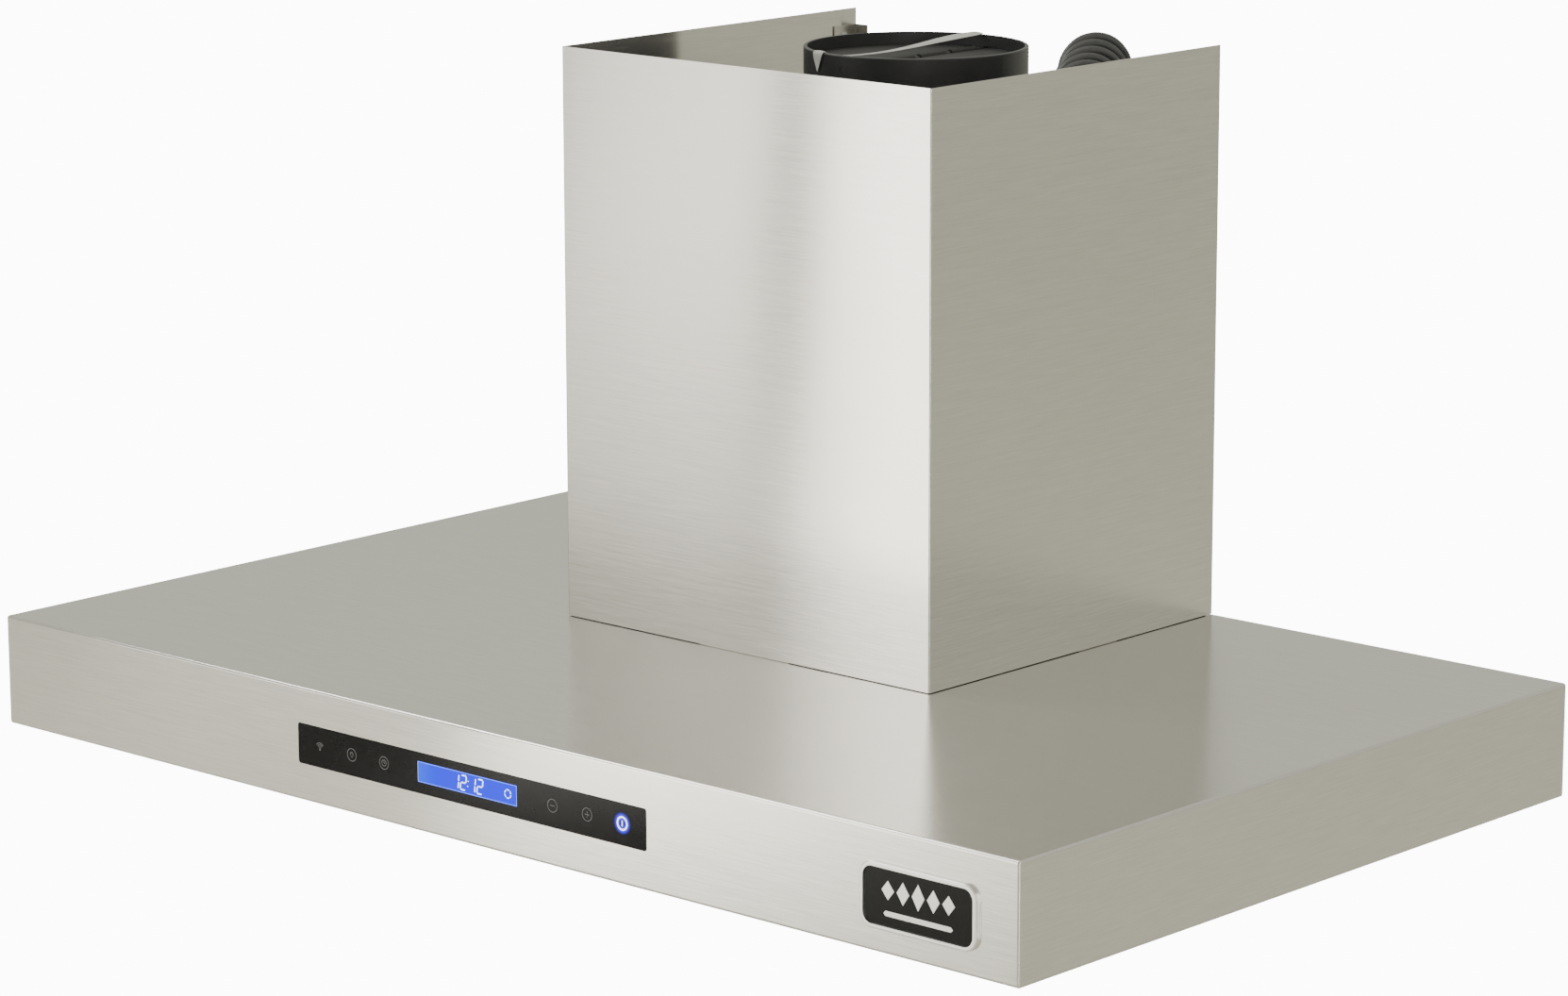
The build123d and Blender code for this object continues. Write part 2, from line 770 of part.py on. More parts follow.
def filter_handle(x):
    """Strap handle under the filter's front rim."""
    half = handle_width / 2
    with BuildPart() as handle:
        with BuildSketch(Plane.XZ.offset(-(filter_front + 11))):
            with Locations((x, filter_low - handle_drop / 2)):
                Rectangle(handle_width, handle_drop)
            with Locations((x, filter_low - handle_drop / 2 + 2)):
                Rectangle(handle_width - 4, handle_drop, mode=Mode.SUBTRACT)
            with Locations((x - half - 4, filter_low - 0.75), (x + half + 4, filter_low - 0.75)):
                Rectangle(8.2, 1.5)
        extrude(amount=10)
    return handle


def filter_spring(x):
    """Leaf spring on the front rim that grips the liner's lip."""
    middle = (filter_low + liner_height) / 2
    with BuildPart() as spring:
        block((x - 12, x + 12), (filter_front - 0.4, filter_front), (middle - 5, middle + 4))
        with Locations((x, filter_front - 0.3, middle)):
            Cylinder(0.9, 18, rotation=(0, 90, 0))
        block((x - 12, x + 12), (filter_front, filter_front + 3), (middle - 5, middle + 5), Mode.SUBTRACT)
    return spring


for index in range(filter_count):
    middle_x = (index - (filter_count - 1) / 2) * (filter_width + filter_gap)
    number = index + 1
    save(filter_frame(middle_x), f"filter_{number}_frame")
    save(filter_baffles(middle_x), f"filter_{number}_baffles")
    save(filter_handle(middle_x), f"filter_{number}_handle")
    save(filter_spring(middle_x), f"filter_{number}_spring")

# Lamps ----------------------------------------------------------------------------------------

panel_low = liner_height - liner_sheet
lens_radius = lamp_radius - 7


def lamp_bezel(x):
    """Ring under the panel with a neck through the lamp hole."""
    with BuildPart() as bezel:
        with BuildSketch(Plane.XY.offset(panel_low - 2.5)):
            with Locations((x, lamp_y)):
                Circle(lamp_radius)
        extrude(amount=2.5)
        fillet(bezel.edges().group_by(Axis.Z)[0], 1.2)
        with BuildSketch(Plane.XY.offset(panel_low)):
            with Locations((x, lamp_y)):
                Circle(lamp_hole_radius - slip)
        extrude(amount=5)
        with BuildSketch(Plane.XY.offset(panel_low - 2.5)):
            with Locations((x, lamp_y)):
                Circle(lens_radius)
        extrude(amount=7.5, mode=Mode.SUBTRACT)
    return bezel


def lamp_lens(x):
    """Frosted disc inside the bezel."""
    with BuildPart() as lens:
        with BuildSketch(Plane.XY.offset(panel_low - 1.5)):
            with Locations((x, lamp_y)):
                Circle(lens_radius)
        extrude(amount=2)
    return lens


def lamp_body(x):
    """Can above the panel with two spring clips that press on the panel."""
    low = panel_low + 5
    with BuildPart() as body:
        with BuildSketch(Plane.XY.offset(low)):
            with Locations((x, lamp_y)):
                Circle(lamp_hole_radius - slip)
        extrude(amount=16)
        fillet(body.edges().group_by(Axis.Z)[-1], 2)
        for side in (-1, 1):
            block(
                sorted((x + side * (lamp_hole_radius - 2), x + side * (lamp_hole_radius + 9))),
                (lamp_y - 5, lamp_y + 5),
                (low + 4, low + 5),
            )
            block(
                sorted((x + side * (lamp_hole_radius + 8), x + side * (lamp_hole_radius + 9))),
                (lamp_y - 5, lamp_y + 5),
                (liner_height, low + 5),
            )
    return body


for side_name, side in (("left", -1), ("right", 1)):
    lamp_x = side * (canopy_width / 2 - lamp_inset)
    save(lamp_bezel(lamp_x), f"lamp_{side_name}_bezel")
    save(lamp_lens(lamp_x), f"lamp_{side_name}_lens")
    save(lamp_body(lamp_x), f"lamp_{side_name}_body")

# Control panel ----------------------------------------------------------------------------------

glass_back = -canopy_depth + glass_sheet
lcd_back = glass_back + 6
board_rear = lcd_back + 1.6
holder_back = board_rear + 6.4
with BuildPart() as control_glass:
    with BuildSketch(Plane.XZ.offset(canopy_depth)):
        with Locations((0, glass_middle)):
            RectangleRounded(glass_width - 2 * slip, glass_height - 2 * slip, 2)
    extrude(amount=-glass_sheet)
save(control_glass, "control_glass")

with BuildPart() as control_holder:
    block(
        (-glass_width / 2 - 16, glass_width / 2 + 16),
        (front_inside, holder_back),
        (glass_middle - glass_height / 2 - 7, glass_middle + glass_height / 2 + 7),
    )
    with BuildSketch(Plane.XZ.offset(-front_inside)):
        with Locations((0, glass_middle)):
            RectangleRounded(glass_width, glass_height, 2)
    extrude(amount=front_inside - glass_back, mode=Mode.SUBTRACT)
    block(
        (8 - glass_width / 2, glass_width / 2 - 8),
        (front_inside, holder_back - 2),
        (glass_middle - glass_height / 2 + 1.5, glass_middle + glass_height / 2 - 1.5),
        Mode.SUBTRACT,
    )
    for x in (-glass_width / 2 + 20, -glass_width / 6, glass_width / 6, glass_width / 2 - 20):
        with Locations(Location((x, board_rear, glass_middle), (-90, 0, 0))):
            Cylinder(2.5, holder_back - board_rear, align=(Align.CENTER, Align.CENTER, Align.MIN))
save(control_holder, "control_holder")

with BuildPart() as touch_board:
    block(
        (10 - glass_width / 2, glass_width / 2 - 10),
        (lcd_back, board_rear),
        (glass_middle - lcd_height / 2 - 1, glass_middle + lcd_height / 2 + 1),
    )
save(touch_board, "touch_board")

with BuildPart() as lcd_module:
    block(
        (-lcd_width / 2, lcd_width / 2),
        (glass_back, lcd_back),
        (glass_middle - lcd_height / 2, glass_middle + lcd_height / 2),
    )
save(lcd_module, "lcd_module")

with BuildPart() as badge_rim:
    with BuildSketch(Plane.XZ.offset(canopy_depth)):
        with Locations((badge_x, badge_z)):
            RectangleRounded(badge_width, badge_height, 9.5)
    extrude(amount=3)
    fillet(badge_rim.faces().sort_by(Axis.Y)[0].edges(), 1.0)
    with BuildSketch(Plane.XZ.offset(canopy_depth)):
        with Locations((badge_x, badge_z)):
            RectangleRounded(
                badge_width - 2 * badge_rim_width, badge_height - 2 * badge_rim_width, 6.8
            )
    extrude(amount=3, mode=Mode.SUBTRACT)
save(badge_rim, "badge_rim")

with BuildPart() as badge_plate:
    with BuildSketch(Plane.XZ.offset(canopy_depth)):
        with Locations((badge_x, badge_z)):
            RectangleRounded(
                badge_width - 2 * badge_rim_width, badge_height - 2 * badge_rim_width, 6.8
            )
    extrude(amount=1.8)
save(badge_plate, "badge_plate")

# Power cord: gland, lead, hank, tail and plug ------------------------------------------------------

gland_x = hank_x - 6
gland_y = (box_front + cover_front) / 2
gland_top = box_high + 25
with BuildPart() as cord_gland:
    with Locations((gland_x, gland_y, box_high)):
        Cylinder(9, 6, align=(Align.CENTER, Align.CENTER, Align.MIN))
    with Locations((gland_x, gland_y, box_high + 6)):
        Cone(7.5, 4.5, gland_top - box_high - 6, align=(Align.CENTER, Align.CENTER, Align.MIN))
save(cord_gland, "cord_gland")


def corner_radii(points):
    """Arc radius at each corner: 0.45 of the shorter run over the tangent of half the turn."""
    radii = []
    for before, corner, after in zip(points, points[1:], points[2:]):
        run_in = Vector(*corner) - Vector(*before)
        run_out = Vector(*after) - Vector(*corner)
        turn = run_in.get_angle(run_out)
        radii.append(0.45 * min(run_in.length, run_out.length) / tan(radians(turn / 2)))
    return radii


def cord_tube(points, name):
    """Round cord along straight runs joined by tangent arcs."""
    radii = corner_radii(points)
    with BuildPart() as tube:
        with BuildLine():
            route = FilletPolyline(*points, radius=radii)
        with BuildSketch(Plane(origin=route @ 0, z_dir=route % 0)):
            Circle(cord_radius)
        sweep()
    section = Face(Wire(Edge.make_circle(cord_radius))).area
    print(name, "radii", [round(r, 1) for r in radii])
    print(name, "volume / (section x length)", round(tube.part.volume / (section * route.length), 4))
    return tube


deck = housing_top
lead_points = [
    (gland_x, gland_y, gland_top),
    (gland_x, gland_y, gland_top + 33),
    (gland_x + 1, gland_y + 10, gland_top + 67),
    (gland_x + 3, gland_y + 40, deck + 31),
    (gland_x + 5, gland_y + 73, deck + 21),
    (gland_x + 4, gland_y + 105, deck + 9),
    (gland_x + 2, gland_y + 137, deck + cord_radius + 1),
    (gland_x + 1, hank_y - 13, deck + cord_radius + 0.5),
]
save(cord_tube(lead_points, "lead"), "power_cord_lead")

# The plug lies behind the collar, with its front edge on the collar's flange.
plug_width = 24
plug_height = 20
plug_x = hank_x - 46
plug_y = blower_y + collar_radius + 18.5
plug_z = collar_low + collar_flange_sheet + plug_height / 2 + 0.5
tail_points = [
    (hank_x + 9, hank_y - 4.5, deck + cord_radius + 0.5),
    (hank_x + 8, hank_y + 27.5, deck + cord_radius + 1),
    (hank_x - 14, plug_y - 3, plug_z - 5.5),
    (plug_x, plug_y, plug_z),
]
save(cord_tube(tail_points, "tail"), "power_cord_tail")

hank_middle = deck + hank_height / 2
with BuildPart() as power_cord_hank:
    with BuildSketch(Plane.YZ.offset(hank_x - hank_thickness / 2)):
        with Locations((hank_y, hank_middle)):
            SlotOverall(hank_height, hank_width, rotation=90)
            SlotOverall(hank_height - 44, hank_width - 44, rotation=90, mode=Mode.SUBTRACT)
    extrude(amount=hank_thickness)
    fillet(power_cord_hank.edges(), 8)
save(power_cord_hank, "power_cord_hank")

with BuildPart() as cord_tie:
    tie_z = hank_middle - 8
    with BuildSketch(Plane.XY.offset(tie_z)):
        with Locations((hank_x, hank_y - hank_width / 2 + 11)):
            RectangleRounded(hank_thickness + 3, 25, 4)
            RectangleRounded(hank_thickness + 0.6, 22.6, 3, mode=Mode.SUBTRACT)
    extrude(amount=8)
save(cord_tie, "cord_tie")

with BuildPart() as plug_body:
    with Locations(Location((plug_x, plug_y, plug_z), (0, -90, 0))):
        Cone(4.5, 7.5, 20, align=(Align.CENTER, Align.CENTER, Align.MIN))
    block(
        (plug_x - 50, plug_x - 20),
        (plug_y - plug_width / 2, plug_y + plug_width / 2),
        (plug_z - plug_height / 2, plug_z + plug_height / 2),
    )
    fillet(plug_body.edges().filter_by(Axis.X), 5)
save(plug_body, "plug_body")

with BuildPart() as plug_blades:
    for y in (-6.35, 6.35):
        block(
            (plug_x - 66, plug_x - 50),
            (plug_y + y - 0.8, plug_y + y + 0.8),
            (plug_z - 3, plug_z + 3),
        )
    with Locations(Location((plug_x - 50, plug_y, plug_z + 7), (0, -90, 0))):
        Cylinder(2.4, 19, align=(Align.CENTER, Align.CENTER, Align.MIN))
save(plug_blades, "plug_blades")
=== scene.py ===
"""Wall-mounted chimney range hood: finishes, small parts, cord and studio round the CAD frame."""

import math

import bmesh
import bpy
from bpy.props import (
    FloatProperty,
    FloatVectorProperty,
    IntProperty,
    PointerProperty,
    StringProperty,
)
from mathutils import Matrix, Vector


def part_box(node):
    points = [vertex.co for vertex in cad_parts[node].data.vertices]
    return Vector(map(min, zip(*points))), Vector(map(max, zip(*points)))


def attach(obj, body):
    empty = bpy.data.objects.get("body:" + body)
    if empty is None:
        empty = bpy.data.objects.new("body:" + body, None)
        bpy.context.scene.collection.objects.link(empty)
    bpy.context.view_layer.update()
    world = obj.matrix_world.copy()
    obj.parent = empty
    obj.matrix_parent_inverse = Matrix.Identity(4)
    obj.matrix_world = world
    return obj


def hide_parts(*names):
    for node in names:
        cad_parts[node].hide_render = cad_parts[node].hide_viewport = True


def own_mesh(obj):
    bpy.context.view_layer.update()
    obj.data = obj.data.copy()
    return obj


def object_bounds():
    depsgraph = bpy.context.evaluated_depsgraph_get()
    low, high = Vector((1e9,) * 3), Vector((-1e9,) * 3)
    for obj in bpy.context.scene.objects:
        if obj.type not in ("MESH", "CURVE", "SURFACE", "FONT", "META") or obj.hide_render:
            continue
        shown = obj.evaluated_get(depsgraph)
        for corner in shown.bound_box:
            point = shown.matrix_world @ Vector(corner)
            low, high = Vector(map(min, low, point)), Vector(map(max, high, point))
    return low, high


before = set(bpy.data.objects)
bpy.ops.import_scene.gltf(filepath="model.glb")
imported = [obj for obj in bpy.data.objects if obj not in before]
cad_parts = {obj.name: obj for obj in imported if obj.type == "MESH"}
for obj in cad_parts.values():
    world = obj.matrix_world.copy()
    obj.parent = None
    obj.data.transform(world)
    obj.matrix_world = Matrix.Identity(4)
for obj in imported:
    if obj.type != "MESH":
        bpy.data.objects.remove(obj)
cad_low, cad_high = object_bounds()

bl_info = {
    "name": "Range hood finishes",
    "version": (1, 0, 0),
    "blender": (4, 5, 0),
    "location": "View3D > Sidebar > Range hood",
    "description": "Brushed steel, touch control, badge, cord and studio of a range hood",
    "category": "Object",
}

MM = 0.001
# How far printed shapes stand apart from the glass and from each other.
HAIR = 0.05 * MM
# What the camera sees of the floor and the room is plain white.
WHITE = 12.0
# How far the hank is turned from across the hood towards its front.
HANK_TURN = math.radians(30)

# Measures that the pieces share, read from the frame --------------------------

canopy_low, canopy_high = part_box("canopy_shell")
glass_low, glass_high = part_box("control_glass")
badge_low, badge_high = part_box("badge_plate")
collar_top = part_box("duct_collar")[1].z
hank_low, hank_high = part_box("power_cord_hank")
gland_low, gland_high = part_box("cord_gland")
housing_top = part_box("blower_housing")[1].z
front_y = canopy_low.y
glass_middle = (glass_low + glass_high) / 2
badge_middle = (badge_low + badge_high) / 2


# Helpers ----------------------------------------------------------------------


def linear(hex_code):
    """An sRGB hex colour as linear red, green, blue and alpha."""
    parts = [int(hex_code[i : i + 2], 16) / 255 for i in (1, 3, 5)]
    return (*[c / 12.92 if c <= 0.04045 else ((c + 0.055) / 1.055) ** 2.4 for c in parts], 1)


def add_node(tree, kind, values=None, links=None, **settings):
    """Adds a node, gives its settings and values, and links its inputs from other sockets."""
    made = tree.nodes.new(kind)
    for name, value in settings.items():
        setattr(made, name, value)
    for key, value in (values or {}).items():
        made.inputs[key].default_value = value
    for key, socket in (links or {}).items():
        tree.links.new(socket, made.inputs[key])
    return made


def new_finish(name, colour, roughness, **sockets):
    """A material with its shader's plain values set, and its node tree and shader to build on."""
    made = bpy.data.materials.new(name)
    made.use_nodes = True
    shader = made.node_tree.nodes["Principled BSDF"]
    shader.inputs["Base Color"].default_value = linear(colour)
    shader.inputs["Roughness"].default_value = roughness
    for key, value in sockets.items():
        shader.inputs[key.replace("_", " ")].default_value = value
    return made, made.node_tree, shader


def object_points(tree, spacing):
    """The surface's own coordinates, divided by a spacing in metres along each axis."""
    place = add_node(tree, "ShaderNodeTexCoord")
    return add_node(
        tree,
        "ShaderNodeVectorMath",
        {1: spacing},
        {0: place.outputs["Object"]},
        operation="DIVIDE",
    ).outputs["Vector"]


def spread(tree, factor, low, high):
    """A factor from 0 to 1 carried to the range from low to high."""
    return add_node(
        tree,
        "ShaderNodeMapRange",
        {"To Min": low, "To Max": high},
        {"Value": factor},
    ).outputs["Result"]


def shade(tree, factor, dark, light):
    """A colour between two hex colours by a factor from 0 to 1."""
    return add_node(
        tree,
        "ShaderNodeMix",
        {6: linear(dark), 7: linear(light)},
        {0: factor},
        data_type="RGBA",
    ).outputs[2]


def relief(tree, shader, height, depth):
    """A bump of a real depth in metres on a shader."""
    bump = add_node(tree, "ShaderNodeBump", {"Distance": depth}, {"Height": height})
    tree.links.new(bump.outputs["Normal"], shader.inputs["Normal"])


def paint(names, finish):
    """Gives CAD nodes their finish."""
    for name in names:
        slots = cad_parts[name].data.materials
        if not slots:
            slots.append(finish)
        for index in range(len(slots)):
            slots[index] = finish


def piece(name, mesh, finish, body="root"):
    """Makes an object from a bmesh, with its finish, riding on a body."""
    data = bpy.data.meshes.new(name)
    mesh.to_mesh(data)
    mesh.free()
    data.materials.append(finish)
    made = bpy.data.objects.new(name, data)
    bpy.context.scene.collection.objects.link(made)
    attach(made, body)
    return made


def set_on_stage(name, mesh):
    """Makes a stage object from a bmesh, which isn't part of the hood."""
    data = bpy.data.meshes.new(name)
    mesh.to_mesh(data)
    mesh.free()
    made = bpy.data.objects.new(name, data)
    bpy.context.scene.collection.objects.link(made)
    return made


def smooth(made, angle=40):
    """Smooths the faces that meet at less than an angle in degrees."""
    for face in made.data.polygons:
        face.use_smooth = True
    made.data.set_sharp_from_angle(angle=math.radians(angle))


def plate(mesh, outline, y_front, y_back):
    """A flat plate in the front plane from an outline of (x, z) points."""
    front = [mesh.verts.new((x, y_front, z)) for x, z in outline]
    back = [mesh.verts.new((x, y_back, z)) for x, z in outline]
    mesh.faces.new(front)
    mesh.faces.new(reversed(back))
    count = len(outline)
    for i in range(count):
        j = (i + 1) % count
        mesh.faces.new((front[j], front[i], back[i], back[j]))


def ring(mesh, centre, radius, width, y_front, y_back, start=0.0, sweep=360.0, steps=48):
    """A flat ring, or an arc of one, in the front plane. Angles are in degrees from +X."""
    closed = sweep >= 360
    count = steps if closed else max(4, int(steps * sweep / 360))
    rows = []
    for i in range(count if closed else count + 1):
        angle = math.radians(start + sweep * i / count)
        row = []
        for r, y in (
            (radius + width / 2, y_front),
            (radius - width / 2, y_front),
            (radius - width / 2, y_back),
            (radius + width / 2, y_back),
        ):
            x = centre[0] + r * math.cos(angle)
            z = centre[1] + r * math.sin(angle)
            row.append(mesh.verts.new((x, y, z)))
        rows.append(row)
    for i in range(len(rows) if closed else len(rows) - 1):
        a, b = rows[i], rows[(i + 1) % len(rows)]
        for k in range(4):
            m = (k + 1) % 4
            mesh.faces.new((a[k], a[m], b[m], b[k]))
    if not closed:
        mesh.faces.new(reversed(rows[0]))
        mesh.faces.new(rows[-1])


def bar(mesh, start, end, width, y_front, y_back):
    """A straight stroke between two (x, z) points, with pointed ends."""
    run = Vector(end) - Vector(start)
    along = run.normalized() * width / 2
    across = Vector((-along.y, along.x))
    a, b = Vector(start), Vector(end)
    outline = [a - along, a + across, b + across, b + along, b - across, a - across]
    plate(mesh, [tuple(p) for p in outline], y_front, y_back)


def rounded(half_x, half_z, radius, steps=8):
    """The outline of a rounded rectangle about the origin, as (x, z) points."""
    points = []
    for quarter, (sx, sz) in enumerate(((1, 1), (-1, 1), (-1, -1), (1, -1))):
        for i in range(steps + 1):
            angle = math.radians(90 * (quarter + i / steps))
            x = sx * (half_x - radius) + radius * math.cos(angle)
            z = sz * (half_z - radius) + radius * math.sin(angle)
            points.append((x, z))
    return points


def turned(profile, steps=40):
    """A closed body turned about Z from (radius, height) points, where radius 0 closes it."""
    mesh = bmesh.new()
    rows = []
    for radius, height in profile:
        if radius < 1e-9:
            rows.append([mesh.verts.new((0, 0, height))] * steps)
        else:
            turns = [2 * math.pi * i / steps for i in range(steps)]
            places = [(radius * math.cos(turn), radius * math.sin(turn), height) for turn in turns]
            rows.append([mesh.verts.new(place) for place in places])
    for a, b in zip(rows, rows[1:]):
        for i in range(steps):
            j = (i + 1) % steps
            corners = dict.fromkeys((a[i], a[j], b[j], b[i]))
            if len(corners) > 2:
                mesh.faces.new(list(corners))
    bmesh.ops.recalc_face_normals(mesh, faces=mesh.faces)
    return mesh


# Finishes -----------------------------------------------------------------------


def brushed_stainless(name, settings, crown=0.0, half_width=1.0):
    """Stainless steel sheet, grade 304, brushed with a fine belt along its length and left bare.

    The brush lines are along the sheet, so light spreads up and down and stays narrow sideways.
    A crown is how far the middle of a pressed front stands out from its two bends.
    """
    made, tree, shader = new_finish(
        name,
        "#D3D0CA",
        settings.roughness,
        Metallic=1.0,
        Anisotropic=settings.anisotropy,
    )
    shape = add_node(tree, "ShaderNodeNewGeometry")
    facing = add_node(tree, "ShaderNodeSeparateXYZ", links={0: shape.outputs["Normal"]})
    # Real brush lines are about 0.08 mm apart: these are coarser, so that they show.
    pitch, length = settings.line_pitch, settings.line_length
    on_walls = add_node(
        tree,
        "ShaderNodeTexNoise",
        {"Scale": 1.0, "Detail": 3.0, "Roughness": 0.7},
        {"Vector": object_points(tree, (length, length, pitch))},
    )
    on_top = add_node(
        tree,
        "ShaderNodeTexNoise",
        {"Scale": 1.0, "Detail": 3.0, "Roughness": 0.7},
        {"Vector": object_points(tree, (length, pitch, length))},
    )
    steep = add_node(
        tree,
        "ShaderNodeMath",
        {1: 0.7},
        {0: facing.outputs["Z"]},
        operation="GREATER_THAN",
    )
    lines = add_node(
        tree,
        "ShaderNodeMix",
        links={0: steep.outputs[0], 2: on_walls.outputs["Fac"], 3: on_top.outputs["Fac"]},
    ).outputs[0]
    # Faint patches where hands and polish have changed the sheen, about 120 mm across.
    patches = add_node(
        tree,
        "ShaderNodeTexNoise",
        {"Scale": 1.0, "Detail": 2.0},
        {"Vector": object_points(tree, (0.12, 0.12, 0.12))},
    ).outputs["Fac"]
    both = add_node(tree, "ShaderNodeMix", {0: 0.35}, {2: lines, 3: patches}).outputs[0]
    tree.links.new(
        spread(tree, both, settings.roughness - 0.04, settings.roughness + 0.04),
        shader.inputs["Roughness"],
    )
    tree.links.new(shade(tree, lines, "#C2BFB9", "#E3E0DA"), shader.inputs["Base Color"])
    # The cross-brush direction: up on the walls and front to back on the top.
    across = add_node(
        tree,
        "ShaderNodeVectorMath",
        {1: (1, 0, 0)},
        {0: shape.outputs["Normal"]},
        operation="CROSS_PRODUCT",
    )
    sideways = add_node(
        tree, "ShaderNodeMath", links={0: facing.outputs["X"]}, operation="ABSOLUTE"
    )
    upward = add_node(tree, "ShaderNodeCombineXYZ", links={"Z": sideways.outputs[0]})
    tangent = add_node(
        tree,
        "ShaderNodeVectorMath",
        links={0: across.outputs[0], 1: upward.outputs[0]},
        operation="ADD",
    )
    tree.links.new(tangent.outputs[0], shader.inputs["Tangent"])
    # The sheet isn't quite flat: long shallow waves of a few hundredths of a millimetre.
    waves = add_node(
        tree,
        "ShaderNodeTexNoise",
        {"Scale": 1.0, "Detail": 1.0},
        {"Vector": object_points(tree, (0.16, 0.16, 0.3))},
    )
    broad = add_node(
        tree, "ShaderNodeBump", {"Distance": settings.wave_depth}, {"Height": waves.outputs["Fac"]}
    )
    place = add_node(tree, "ShaderNodeTexCoord")
    sides = add_node(tree, "ShaderNodeSeparateXYZ", links={0: place.outputs["Object"]})
    fall = add_node(
        tree,
        "ShaderNodeMath",
        links={0: sides.outputs["X"], 1: sides.outputs["X"]},
        operation="MULTIPLY",
    )
    bulge = add_node(
        tree,
        "ShaderNodeBump",
        {"Distance": crown / half_width**2},
        {"Height": fall.outputs[0], "Normal": broad.outputs["Normal"]},
        invert=True,
    )
    fine = add_node(
        tree,
        "ShaderNodeBump",
        {"Distance": settings.line_depth},
        {"Height": lines, "Normal": bulge.outputs["Normal"]},
    )
    tree.links.new(fine.outputs["Normal"], shader.inputs["Normal"])
    return made


def mill_stainless(name, roughness=0.32):
    """Stainless sheet as it comes from the mill: dull, pale and faintly cloudy."""
    made, tree, shader = new_finish(name, "#C2BFB8", roughness, Metallic=1.0)
    clouds = add_node(
        tree,
        "ShaderNodeTexNoise",
        {"Scale": 1.0, "Detail": 4.0},
        {"Vector": object_points(tree, (0.05, 0.05, 0.05))},
    ).outputs["Fac"]
    grain = add_node(
        tree,
        "ShaderNodeTexNoise",
        {"Scale": 1.0, "Detail": 2.0},
        {"Vector": object_points(tree, (0.03, 0.0012, 0.0012))},
    ).outputs["Fac"]
    gloss = spread(tree, clouds, roughness - 0.07, roughness + 0.07)
    tree.links.new(gloss, shader.inputs["Roughness"])
    tree.links.new(shade(tree, grain, "#B5B2AB", "#CBC8C1"), shader.inputs["Base Color"])
    relief(tree, shader, grain, 0.006 * MM)
    return made


def galvanised_steel(name):
    """Hot-dip galvanised steel: zinc crystals a few millimetres across, each with its own tone."""
    made, tree, shader = new_finish(name, "#A9ADB0", 0.4, Metallic=1.0)
    crystals = add_node(
        tree,
        "ShaderNodeTexVoronoi",
        {"Scale": 1.0, "Randomness": 1.0},
        {"Vector": object_points(tree, (0.006, 0.006, 0.006))},
    )
    tone = add_node(
        tree, "ShaderNodeSeparateColor", links={0: crystals.outputs["Color"]}
    ).outputs[0]
    tree.links.new(shade(tree, tone, "#8F9498", "#BFC3C5"), shader.inputs["Base Color"])
    tree.links.new(spread(tree, tone, 0.3, 0.5), shader.inputs["Roughness"])
    relief(tree, shader, crystals.outputs["Distance"], 0.01 * MM)
    return made


def plated_steel(name, colour, darker, roughness):
    """Turned or pressed steel with a thin bright plating, finely streaked by the tool."""
    made, tree, shader = new_finish(name, colour, roughness, Metallic=1.0)
    streaks = add_node(
        tree,
        "ShaderNodeTexNoise",
        {"Scale": 1.0, "Detail": 3.0},
        {"Vector": object_points(tree, (0.0015, 0.0015, 0.0004))},
    ).outputs["Fac"]
    tree.links.new(shade(tree, streaks, darker, colour), shader.inputs["Base Color"])
    gloss = spread(tree, streaks, roughness - 0.06, roughness + 0.06)
    tree.links.new(gloss, shader.inputs["Roughness"])
    relief(tree, shader, streaks, 0.004 * MM)
    return made


def moulded_plastic(name, colour, lighter, roughness, texture=0.9, depth=0.02):
    """Injection-moulded plastic with a fine spark-eroded texture, its grain in millimetres."""
    made, tree, shader = new_finish(name, colour, roughness, IOR=1.5)
    grain = add_node(
        tree,
        "ShaderNodeTexNoise",
        {"Scale": 1.0, "Detail": 3.0},
        {"Vector": object_points(tree, (texture * MM,) * 3)},
    ).outputs["Fac"]
    marks = add_node(
        tree,
        "ShaderNodeTexNoise",
        {"Scale": 1.0, "Detail": 3.0},
        {"Vector": object_points(tree, (0.03, 0.03, 0.03))},
    ).outputs["Fac"]
    tree.links.new(shade(tree, marks, colour, lighter), shader.inputs["Base Color"])
    gloss = spread(tree, marks, roughness - 0.08, roughness + 0.1)
    tree.links.new(gloss, shader.inputs["Roughness"])
    relief(tree, shader, grain, depth * MM)
    return made


def foam_rubber(name):
    """Closed-cell foam gasket: matt, with open cells about half a millimetre across."""
    made, tree, shader = new_finish(name, "#2A2A2C", 0.9, IOR=1.5)
    cells = add_node(
        tree,
        "ShaderNodeTexVoronoi",
        {"Scale": 1.0},
        {"Vector": object_points(tree, (0.0007,) * 3)},
    )
    tree.links.new(
        shade(tree, cells.outputs["Distance"], "#39393B", "#1D1D1F"), shader.inputs["Base Color"]
    )
    relief(tree, shader, cells.outputs["Distance"], 0.2 * MM)
    return made


def circuit_board(name):
    """Glass laminate under green solder mask, with darker tracks beneath it."""
    made, tree, shader = new_finish(name, "#1C4A2C", 0.35, IOR=1.55)
    tracks = add_node(
        tree,
        "ShaderNodeTexBrick",
        {
            "Color1": linear("#24603A"),
            "Color2": linear("#1D5231"),
            "Mortar": linear("#123A20"),
            "Scale": 1.0,
            "Mortar Size": 0.06,
            "Brick Width": 0.9,
            "Row Height": 0.25,
        },
        {"Vector": object_points(tree, (0.01, 0.01, 0.01))},
    )
    tree.links.new(tracks.outputs["Color"], shader.inputs["Base Color"])
    relief(tree, shader, tracks.outputs["Fac"], 0.03 * MM)
    return made


